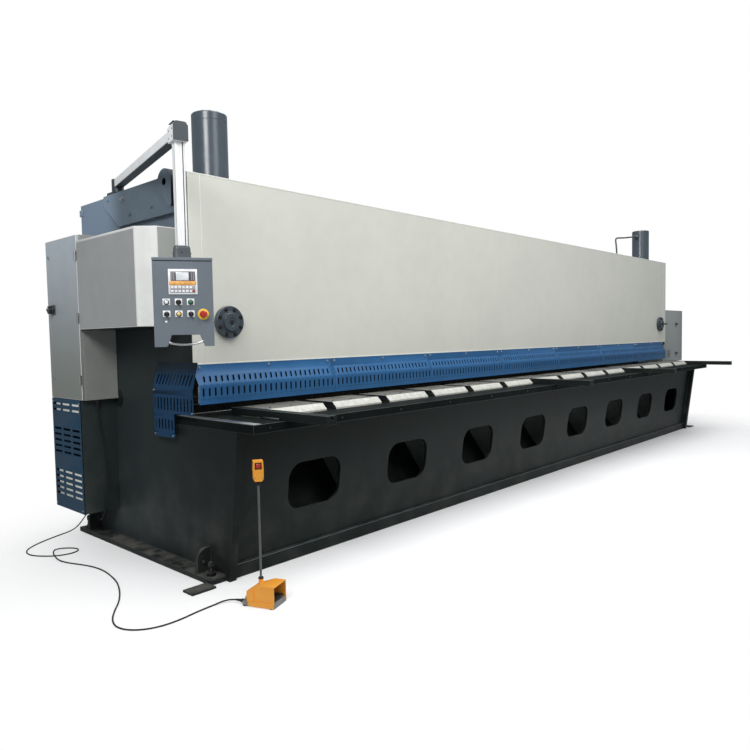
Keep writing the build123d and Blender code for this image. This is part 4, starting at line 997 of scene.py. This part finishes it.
def make_motor(y, floor):
    """Finned motor on the tank: 36 fins, so the shell's radius is 80 mm or 89 mm by the sign of sin(36 a)."""
    form = Form()
    z = floor + 90
    angle = np.arange(144) * 2 * math.pi / 144
    fins = 80 + 9 * (np.sin(angle * 36) > 0)
    run = np.array([4250.0, 4270, 4270, 4530, 4530, 4545])[:, None]
    radius = np.stack([0 * fins + 70, 0 * fins + 82, fins, fins, 0 * fins + 82, 0 * fins + 78])
    shell = np.stack([run + 0 * radius, y + radius * np.cos(angle), z + radius * np.sin(angle)], -1)
    form.surface(shell, round_v=True)
    form.turned([(4545, y, z)], RIGHT, [(76, -2), (89, -2), (90, 0), (90, 78), (80, 90), (0, 92)], 48)
    form.turned([(4250, y, z)], LEFT, [(78, -8), (84, -8), (84, 6), (60, 8), (46, 30), (0, 30)], 40)
    for x in (4350, 4460):
        form.box((x, y - 45, floor), (x + 30, y + 45, floor + 30), 2.0)
    form.box((4340, y + 75, z - 30), (4440, y + 112, z + 30), 5.0, 1)
    bolts(form, lattice([4365, 4475], [y - 60, y + 60], [floor]), UP, 0.8, 2)
    for reach in (20, 34, 48, 62):
        groove = [(reach - 3, 0), (reach - 3, 1.2), (reach + 3, 1.2), (reach + 3, 0)]
        form.turned([(4636.2, y, z)], RIGHT, groove, 40, 1)
    form.make("tank_motor", "oil_tank", "base_grey", "plastic", "bolt")


def make_gauge():
    """Back gauge drive: a threaded spindle and a round end piece in each arm, bearing blocks and a stop bar's
    face.
    """
    form = Form()
    middles = (1464.7, LENGTH - 1464.7)
    turns = np.arange(0, 560, 4.0)
    thread = np.c_[11 + 1.4 * (-1.0) ** np.arange(len(turns)), turns]
    for x in middles:
        form.turned([(x, 975, 1232)], REAR, np.concatenate([[(0, 0)], thread, [(0, 560)]]), 14, 1)
        form.turned([(x, 1528, 1232)], REAR, [(0, 0), (26, 0), (26, 30), (0, 30)], 24, 2)
        form.box((x - 36, 962, 1203), (x + 36, 986, 1261), 3.0)
        bolts(form, lattice([x - 28, x + 28], [960], [1040, 1120]), REAR, 0.8, 2)
    form.box((1430, 899, 1016), (LENGTH - 1430, 902, 1046), 0.8, 1)
    form.make("gauge_drive", "back_gauge", "slate", "steel", "dark_bolt")


# Cover, cabinets and switch

def make_left_boxes():
    """Side cover, cabinet and its door with gasket, locks, hinges and lobed main switch."""
    dress("side_cover", "cover", "beige_edge", edge=5.0)
    # the cabinet's beige is darkened as painted shade under the cover
    dress("cabinet", "painted_shade_beige", "painted_shade_beige", edge=3.0)
    dress("cabinet_door", "door", "beige_edge", edge=3.0)
    form = Form()
    # bright lip along the top edge of the cover's side: painted highlight of its rounded edge
    form.box((-270.6, 503, 2204), (-240, 1338, 2222.5), 4.0)
    form.box((-268, 1326, 1600), (-4, 1339.6, 2219), 1.5, 1)
    form.box((-262, 520, 1586), (-8, 1330, 1593.5), 2.0, 1)
    screws(form, lattice([-230, -40], [560, 1280], [2222]), UP, 0.8, 2)
    form.make("cover_trim", "side_cover", "beige_edge", "black", "bolt")
    form = Form()
    for z in (2146, 1233):
        lock = [(0, 0), (15, 0), (15, 3), (13, 5), (8, 5), (8, 3.4), (0, 3.4)]
        form.turned([(-270, 1825, z)], LEFT, lock, 24)
        form.box((-275.2, 1823.5, z - 6), (-273, 1826.5, z + 6), 0.6, 1)
    form.make("door_locks", "cabinet_door", "bolt", "plastic")
    form = Form()
    for z in (1230, 1675, 2120):
        for low, high in ((-35, -12), (-11, 11), (12, 35)):
            ring = [(0, low), (7.6, low), (8.6, low + 1), (8.6, high - 1), (7.6, high), (0, high)]
            form.turned([(-279.3, 1340.3, z)], UP, ring, 20)
    form.make("hinge_barrels", "door_hinges", "bolt", whole=True)
    form = Form()
    centre = [(-270.3, 1775, 1750)]
    form.box((-276, 1737, 1712), (-270.3, 1813, 1788), 3.0, 1)
    form.turned(centre, LEFT, [(0, 5), (33, 5), (33, 18), (30, 24), (0, 24)], 48)
    knob = [(0, 24), (30, 24), (31, 27), (30, 40), (27, 43.5), (0, 43.5)]
    form.turned(centre, LEFT, knob, 64, lobes=lambda a: 0.86 + 0.14 * np.cos(4 * a))
    form.box((-315, 1772, 1755), (-312, 1778, 1780), 0.8, 2)
    form.make("switch_knob", "main_switch", "gloss_black", "film_dark", "white", whole=True)


def make_unit():
    """Louvred lower unit: thin case, pierced outer sheet and pale baffles close behind the slots as painted
    light seen through them; the front plate is painted shade.
    """
    form = Form()
    y0, y1, z0, z1 = 1385.0, 1880.0, 240.0, 1080.0
    place, _ = folded([(-268.8, z1), (-268.8, z0)], "y")
    rise, pitch, slot = 44, 160.0, (126, 17)
    v = 0.0
    for top, rows in ((1062, 2), (872, 5), (547, 5)):
        form.plain(place, (y0, y1), [v, z1 - top])
        for row in range(rows):
            v = z1 - top + row * rise
            form.slotted(place, (y0, y1), (v, v + rise), pitch, slot)
        v += rise
    form.plain(place, (y0, y1), [v, z1 - z0])
    form.make("unit_louvres", "lower_unit", "unit_blue", sheet=2.0, whole=True)
    form = Form()
    # front plate, mark 3: dark grey painted shade
    form.box((-269, y0, z0), (-1, y0 + 2, z1), 0.8, 3)
    form.box((-269, y1 - 2, z0), (-1, y1, z1), 0.8)
    for z in (z0, z1 - 2):
        form.box((-269, y0, z), (-1, y1, z + 2), 0.8)
    for y in (y0, y1 - 8):
        form.box((-270, y, z0), (-262, y + 8, z1), 2.0)
    # pale baffles close behind the slot rows: painted light for the light seen through the slots
    for low, high in ((976, 1060), (330, 545)):
        form.box((-266.6, y0 + 10, low), (-265, y1 - 72, high), 0.5, 2)
    screws(form, lattice([-269.8], [y0 + 20, y1 - 20], [z0 + 25, z1 - 25]), LEFT, 0.7, 1)
    form.make("unit_case", "lower_unit", "unit_blue", "bolt", "panel_edge", "unit_front_painted_shade")


def make_right_box():
    """Right cabinet with its door, two latches on round plates, hinges and a pressed vent."""
    dress("right_cabinet", "light_grey", "beige_edge", edge=3.0)
    form = Form()
    x0, x1, y, z0, z1 = 8440.0, 9300.0, 330.0, 1020.0, 1840.0
    form.box((x0 + 14, y - 6, z0 + 16), (x1 - 14, y + 1, z1 - 16), 2.5)
    latches = np.array([(8990.0, y - 6, 1622), (8997.0, y - 6, 1148)])
    latch = [(0, 0), (26, 0), (26, 3), (14, 5), (12, 20), (15, 24), (14, 30), (0, 31)]
    form.turned(latches, FRONT, latch, 24, 1)
    form.box(latches - [5, 6, 52], latches + [5, 1, -20], 2.0, 1)
    hinge = [(0, -34), (6, -34), (7, -32), (7, 32), (6, 34), (0, 34)]
    form.turned(lattice([x0 + 12], [y - 8], [1150, 1710]), UP, hinge, 14, 2)
    slats = lattice([x0 + 220], [y - 6.4], 1100 + np.arange(7) * 16.0)
    form.box(slats - [80, 1.6, 3], slats + [80, 1.6, 3], 1.4, 1)
    form.make("right_doors", "right_cabinet", "light_grey", "plastic", "bolt")


# Pendant on its arm

ARM_TURN, ARM_RUN, BOX_TURN = -13.4, 1414.0, -32.0
PIVOT = np.array([30.0, 1280.0, 0.0])
ELBOW = PIVOT + ARM_RUN * np.array([math.sin(math.radians(ARM_TURN)), -math.cos(math.radians(ARM_TURN)), 0.0])


def make_arm():
    """Hollow square arm, black end cap, pivot head, chamfered elbow casting and the grooved drop tube."""
    form = Form()
    form.box((-29, -1368, 2626), (29, 34, 2684), 5.0)
    form.box((-27, 33, 2628), (27, 41, 2682), 3.0, 1)
    # dark strip under the arm: painted shade of its underside
    form.box((-28, -1350, 2623), (28, -44, 2627), 0.8, 2)
    head = [(0, 16), (41, 16), (42, 18), (42, 72), (40, 75), (16, 76), (15, 82), (0, 82)]
    form.turned([(0, 0, 2610)], UP, head, 40, 2)
    screws(form, lattice([-42.2], [-ARM_RUN - 30, -ARM_RUN + 30], [2625, 2668]), LEFT, 0.6, 3)
    elbow = [(-42, 2603), (42, 2603), (42, 2688), (26, 2707), (-26, 2707), (-42, 2688)]
    form.prism(elbow, "y", -ARM_RUN - 44, -ARM_RUN + 52)
    # dark front plate of the elbow: painted shade
    form.prism(elbow, "y", -ARM_RUN - 52, -ARM_RUN - 44.5, 2)
    form.box((-31, -1364, 2624), (31, -1352, 2686), 3.0, 2)
    form.box((-38, -ARM_RUN - 40, 2706), (38, -ARM_RUN + 46, 2708), 0.8, 2)
    bolts(form, [(0, 0, 2691)], UP, 1.0, 3)
    form.turn(ARM_TURN, PIVOT)
    form.make("arm_tube", "pendant_arm", "alloy", "plastic", "dark_grey_and_painted_shade", "bolt", edge=1.5, whole=True)
    form = Form()
    quarter = np.radians(np.linspace(0, 90, 5))
    side = [(29, -17), (25.5, -17), (25.5, -11), (29, -11), (29, 19)]
    corner = np.stack([20 + 9 * np.cos(quarter), 20 + 9 * np.sin(quarter)], -1)
    face = np.concatenate([side, corner])
    turns = [np.linalg.matrix_power(np.array([[0, 1], [-1, 0]]), quarters) for quarters in range(4)]
    form.carry(np.concatenate([face @ turn for turn in turns]), [(0, 0, 2030.3), (0, 0, 2602.5)], up=REAR)
    strip = np.array([(25.6, -16.8), (28.2, -16.8), (28.2, -11.2), (25.6, -11.2)])
    for turn in turns:
        form.carry(strip @ turn, [(0, 0, 2030.6), (0, 0, 2602.2)], up=REAR, mark=1)
    form.turn(ARM_TURN, ELBOW)
    form.make("drop_profile", "drop_tube", "alloy", "plastic", whole=True)
    form = Form()
    levels = np.array([(0, 2030), (36, 2030), (41, 2028), (45, 2022), (46.5, 2010), (49, 1970),
                       (50.5, 1963), (0, 1963)])
    angle = np.linspace(0, 2 * math.pi, 40, endpoint=False)
    square = (np.abs(np.cos(angle)) ** 5 + np.abs(np.sin(angle)) ** 5) ** -0.2
    ring = np.stack([square * np.cos(angle), square * np.sin(angle)], -1)
    height = np.broadcast_to(levels[:, 1:, None], (len(levels), len(ring), 1))
    form.surface(np.concatenate([levels[:, :1, None] * ring, height], -1), round_v=True)
    screws(form, [(0, -47.5, 1990), (47.5, 0, 1990), (-47.5, 0, 1990)], FRONT, 0.5, 1)
    form.turn(BOX_TURN, ELBOW)
    form.make("collar_casting", "pendant_collar", "dark_grey_and_painted_shade", "dark_bolt", whole=True)
    form = Form()
    bolts(form, [(-30, 1100, 2510)], LEFT, 1.7, 2)
    bolts(form, [(-30, 1320, 2535), (-30, 700, 2400), (-30, 1000, 2390)], LEFT, 1.1)
    form.box((-8, 1800, 2486), (0, 1850, 2536), 1.5)
    form.make("bracket_bolts", "arm_bracket", "bracket", "black", "bolt")


# Front and top of the pendant box
FACE = -52.5
TOP = 1962.0


def make_pendant():
    """Pendant box: housing with a notch between two legs, lid, screen with keypad, and the bright bow."""
    form = Form()
    outline = [(-161.5, 1940), (-161.5, 1467), (-96, 1467), (-89, 1480), (-70, 1533), (84, 1533), (105, 1480),
               (110, 1467), (161.5, 1467), (161.5, 1940)]
    form.prism(outline, "y", FACE, -FACE)
    form.box((-163, FACE - 1, 1944.5), (163, 1 - FACE, TOP), 3.0)
    form.box((-157, FACE + 4, 1939), (157, -4 - FACE, 1946), 1.0, 1)
    form.turn(BOX_TURN, ELBOW)
    form.make("pendant_housing", "pendant_box", "grey", "plastic", edge=3.0, whole=True)
    form = Form()
    form.box((-78, FACE - 5, 1757), (78, FACE, 1897), 2.0)
    form.box((-66, FACE - 6, 1832), (67, FACE - 4, 1884), 0.6, 1)
    form.box((-36, FACE - 6.8, 1835), (32, FACE - 5, 1880), 0.6, 2)
    form.box((-74, FACE - 6, 1808), (71, FACE - 4, 1831), 0.6, 3)
    form.box((-68, FACE - 6, 1766), (66, FACE - 4, 1806), 0.6, 4)
    side_keys = lattice([-60, -48, 47, 59], [FACE - 6.3], [1841, 1852, 1863, 1874])
    form.box(side_keys - [4.5, 0.9, 4], side_keys + [4.5, 0.9, 4], 0.8, 4)
    keys = lattice(np.linspace(-58, 42, 6), [FACE - 6.3], [1775, 1796])
    form.box(keys - [7, 0.9, 6], keys + [7, 0.9, 6], 0.8, 0)
    form.box((50, FACE - 7.4, 1769), (62, FACE - 5, 1781), 0.8, 5)
    soft = lattice(np.linspace(-58, 56, 5), [FACE - 6.3], [1819])
    form.box(soft - [8, 0.9, 5], soft + [8, 0.9, 5], 0.8, 6)
    form.turn(BOX_TURN, ELBOW)
    form.make("pendant_panel", "pendant_screen", "white", "film_dark", "glass", "film_orange", "film", "red",
              "amber", whole=True)
    form = Form()
    route = ((-92, 1497), (-84, 1486), (8, 1475), (96, 1488), (104, 1502))
    form.pipe(smooth_path([(x, -32.5, z) for x, z in route]), 6.5, 14)
    form.turn(BOX_TURN, ELBOW)
    form.make("bow_handle", "pendant_handle", "chrome", whole=True)


def make_controls():
    """Buttons on their label plates: lamps, selectors with levers, a green button and the stop button."""
    form = Form()
    columns, rows = (-92.0, -27.0, 38.0), (1714.0, 1648.0)
    plates = lattice(columns, [FACE], rows)
    form.box(plates - [20, 1.6, 16], plates + [20, 0, 20], 1.0)
    ring = [(0, 0), (15, 0), (15, 3), (13, 5.5), (10.5, 5.5), (0, 5.5)]
    form.turned(plates, FRONT, ring, 28, 1)
    dome = [(10.5, 5), (10.5, 11), (9, 14), (5, 16), (0, 16.5)]
    lamps = {0: 2, 3: 3, 4: 4}
    for index, mark in lamps.items():
        form.turned(plates[index:index + 1], FRONT, dome, 24, mark)
    levers = plates[[1, 2, 5]]
    form.turned(levers, FRONT, [(12, 5), (12, 10), (10.5, 12), (0, 12)], 24, 1)
    form.box(levers - [4, 22, 19], levers + [4, -10, 9], 2.5, 1)
    form.box((-102, FACE - 0.8, 1602), (-90, FACE, 1612), 0.4)
    form.turn(BOX_TURN, ELBOW)
    form.make("control_row", "pendant_controls", "white", "gloss_black", "glass", "amber", "green",
              whole=True)
    form = Form()
    centre = [(105, FACE, 1646)]
    form.turned(centre, FRONT, [(0, 0), (31, 0), (31, 2), (29, 3.2), (0, 3.2)], 40, 1)
    form.turned(centre, FRONT, [(0, 3), (14, 3), (14, 14), (12, 15), (12, 19)], 28, 2)
    form.turned(centre, FRONT, [(12, 18), (19, 20), (21, 24), (20, 29), (15, 33), (0, 34)], 36)
    form.turn(BOX_TURN, ELBOW)
    form.make("stop_mushroom", "pendant_stop", "red", "yellow", "gloss_black", whole=True)


# Foot switch and the cord's strain reliefs

PEDAL = np.array([-62.0, -448.0, 0.0])
PEDAL_TURN = 22.0
POLE = (-30.0, -380.0, 0)


def make_foot_switch():
    """Orange hood with ribs and screws over a ridged treadle on a cast base."""
    dress("pedal_hood", "orange", "orange_edge", edge=3.0)
    dress("pedal_base", "base_grey", "base_grey", edge=3.0)
    form = Form()
    screws(form, lattice([-71, 71], [-60, 40], [44]), RIGHT, 0.5)
    form.box((-60, -102, 26), (60, -97.5, 33), 2.0, 1)
    pads = lattice([-66, 66], [-84, 84], [0])
    form.box(pads - [9, 9, 0], pads + [9, 9, 5], 2.0, 2)
    for side in (-1, 1):
        skirt = [(-101, 3), (-101, 34), (62, 34), (62, 8), (40, 3)]
        form.prism(skirt, "x", side * 72.5 - 2.0, side * 72.5 + 2.0, 3)
        form.prism([(24, 30), (24, 96), (66, 84), (66, 30)], "x", side * 72.0 - 2.5, side * 72.0 + 2.5, 3)
    form.box((-52, 66, 27), (52, 88, 62), 5.0, 3)
    form.box((-44, 84, 26), (44, 100, 44), 4.0, 1)
    form.turn(PEDAL_TURN, PEDAL)
    form.make("pedal_trim", "pedal_base", "bolt", "base_grey", "rubber", "orange")
    form = Form()
    form.box((-56, -94.5, 42), (56, 7.5, 48), 2.0)
    ridges = lattice([0], -86 + np.arange(9) * 10.5, [48])
    form.box(ridges - [50, 2, 1], ridges + [50, 2, 2], 0.9)
    form.turn(PEDAL_TURN, PEDAL)
    form.make("treadle_pad", "treadle", "rubber", whole=True)


def make_stop_post():
    """Pole in its boot and the stop box on it, a case with a sunk field round its mushroom button."""
    form = Form()
    foot, low, sill, rim, top = [POLE], 690, 758, 798, 808
    form.turned(foot, UP, [(0, 118), (15, 118), (16, 121), (14, 127), (8, 131), (0, 131)], 24, 1)
    form.turned(foot, UP, [(0, 120), (6.8, 120), (6.8, low), (0, low)], 20)
    form.turned(foot, UP, [(0, 664), (10, 664), (11, 667), (11, 688), (14, low), (0, low)], 20, 1)
    form.make("pole_tube", "stop_pole", "pole", "rubber", whole=True)
    form = Form()
    body = [(-20, low), (20, low), (29, 704), (30, 765), (28, top), (-28, top), (-30, 765), (-29, 704)]
    form.prism(body, "y", -12, 26)
    form.prism([(-20, low), (20, low), (29, 704), (30, sill), (-30, sill), (-29, 704)], "y", -30, -12)
    arch = [(-30, sill), (-21, sill), (-20, rim), (20, rim), (21, sill), (30, sill), (28, top), (-28, top)]
    form.prism(arch, "y", -30, -12)
    form.box((-20, -13, sill), (20, -11.5, rim), 0.5, 2)
    screws(form, lattice([-22, 22], [-30], [712]), FRONT, 0.4, 1)
    form.turn(BOX_TURN, POLE)
    form.make("stop_case", "stop_box", "orange", "bolt", "gloss_black", edge=3.0, whole=True)
    form = Form()
    form.turned([(0, -13, 778)], FRONT, [(0, 0), (9, 0), (9, 4), (14, 6), (15, 9), (11, 12), (0, 13)], 28)
    form.turn(BOX_TURN, POLE)
    form.make("stop_knob", "stop_button", "red", whole=True)


def make_glands():
    """Strain reliefs of the cord: a ribbed rubber cone and a hexagon nut at each of its two ends."""
    form = Form()
    ribs = np.arange(9)
    relief = np.c_[8.6 - 0.42 * ribs + 0.5 * (-1.0) ** ribs, ribs * 4.2]
    cone = np.concatenate([[(0, -6), (11, -6), (11, -1)], relief, [(4.6, 38), (0, 38)]])
    exit_x, exit_y = -150, 1362.5
    form.turned([(exit_x, exit_y, 1056)], DOWN, cone, 20)
    way = np.array([-math.sin(math.radians(PEDAL_TURN)), math.cos(math.radians(PEDAL_TURN)), 0.0])
    gland = np.array([-147.2, -343.8, 16.0])
    form.turned([gland - 4 * way], way, cone, 20)
    form.turned([(exit_x, exit_y, 1080)], DOWN, [(0, 0), (16, 0), (16, 9), (13, 11), (13, 19), (0, 19)], 6, 1)
    form.turned([gland - 26 * way], way, [(0, 0), (12, 0), (12, 8), (10, 10), (10, 20), (0, 20)], 6, 1)
    form.make("strain_reliefs", "cord_glands", "rubber", "plastic", whole=True)


def make_curtain():
    """Rubber strips on a flat bar under the pivot tube: each bows by 4(1 - u^2) across and sways below."""
    form = Form()
    count, first, pitch, half, top, drop = 82, 108, 101.5, 53, 968, 240
    form.box((WALL + 2, 1258, 934), (LENGTH - WALL - 2, 1266, 978), 1.5)
    for x in (54, LENGTH - 54):
        form.box((x - 4, 1246, 926), (x + 4, 1278, 970), 1.0)
    screws(form, lattice(np.arange(100, LENGTH - 60, 200), [1258], [960]), FRONT, 0.8, 1)
    u, v = np.meshgrid(np.linspace(-1, 1, 5), np.linspace(0, 1, 6), indexing="ij")
    number = np.arange(count)[:, None, None]
    sway = 7 * np.sin(number * 2.4) * v ** 2
    strip = np.stack([number * pitch + first + half * u, 1254 - 4 * (1 - u ** 2) + sway + 3 * (number % 2),
                      np.broadcast_to(top - drop * v, sway.shape)], -1)
    form.surface(strip, mark=2)
    form.make("strip_curtain", "bed_back", "black", "dark_bolt", "rubber", sheet=2.0)


for make_part in (make_body, make_curtain, make_welds, make_feet, make_table, make_panel, make_flanges,
                  make_pressers, make_guards, make_side_guards, make_cylinders, make_rear, make_gauge,
                  make_left_boxes, make_unit, make_right_box, make_arm, make_pendant, make_controls,
                  make_foot_switch, make_stop_post, make_glands):
    make_part()


# Light, floor and backdrop

def make_light():
    """Soft studio light: a wide lamp above the front, a fill from the left and an even pale sky."""
    scene = bpy.context.scene
    scene.view_settings.view_transform = "Standard"
    world = bpy.data.worlds.new("sky")
    scene.world = world
    world.use_nodes = True
    tree = world.node_tree
    tree.nodes.clear()
    path, seen, choose, output = (tree.nodes.new("ShaderNode" + kind) for kind in (
        "LightPath", "Math", "MixShader", "OutputWorld"))
    seen.operation = "MAXIMUM"
    link = tree.links.new
    link(path.outputs["Is Camera Ray"], seen.inputs[0])
    link(path.outputs["Is Transmission Ray"], seen.inputs[1])
    link(seen.outputs[0], choose.inputs[0])
    for socket, colour, strength in ((1, (0.90, 0.95, 1.0, 1.0), 0.36), (2, (1.0, 1.0, 1.0, 1.0), 1.0)):
        sky = tree.nodes.new("ShaderNodeBackground")
        sky.inputs["Color"].default_value = colour
        sky.inputs["Strength"].default_value = strength
        link(sky.outputs[0], choose.inputs[socket])
    link(choose.outputs[0], output.inputs["Surface"])
    for name, place, aim, size, power in (
            ("key", (1100, -6500, 7500), (3600, 300, 900), 6.0, 310.0),
            ("left_fill", (-4500, -2500, 5600), (0, 700, 1900), 3.0, 270.0),
            ("top", (3600, -600, 8500), (3600, -600, 0), 8.0, 600.0)):
        lamp = bpy.data.lights.new(name, "AREA")
        lamp.shape = "DISK"
        lamp.size = size
        lamp.energy = power
        start = spot(*place)
        stand(add(name, lamp), *frame_of(start - spot(*aim)), start)


def make_floor():
    """A wide white floor that keeps the object's shadow and fades into the white backdrop far from it."""
    mesh = bpy.data.meshes.new("floor")
    side, sunk, fade_x, fade_y = 60.0, 0.0005, 6.7, 3.4
    corners = np.array([[-side, -side], [side, -side], [side, side], [-side, side]])
    mesh.from_pydata(np.c_[corners, np.full(4, -sunk)].tolist(), [], [[0, 1, 2, 3]])
    f = Finish("floor_white")
    colour = f.mix(f.band(f.noise(0.8, 3.0), 0.3, 0.7), shade((0.9,) * 3, 1.0), shade((0.92,) * 3, 1.0))
    paint = f.node("ShaderNodeBsdfPrincipled", {}, {"Base Color": colour, "Roughness": 0.9}, out="BSDF")
    clear = f.node("ShaderNodeBsdfTransparent", out="BSDF")
    across, along = f.axis("X") / fade_x, f.axis("Y") / fade_y
    far = f.band((across * across + along * along) ** 0.5, 0.52, 1.0)
    f.show(f.node("ShaderNodeMixShader", {}, {0: far, 1: paint, 2: clear}))
    mesh.materials.append(f.material)
    add("floor", mesh)


make_light()
make_floor()
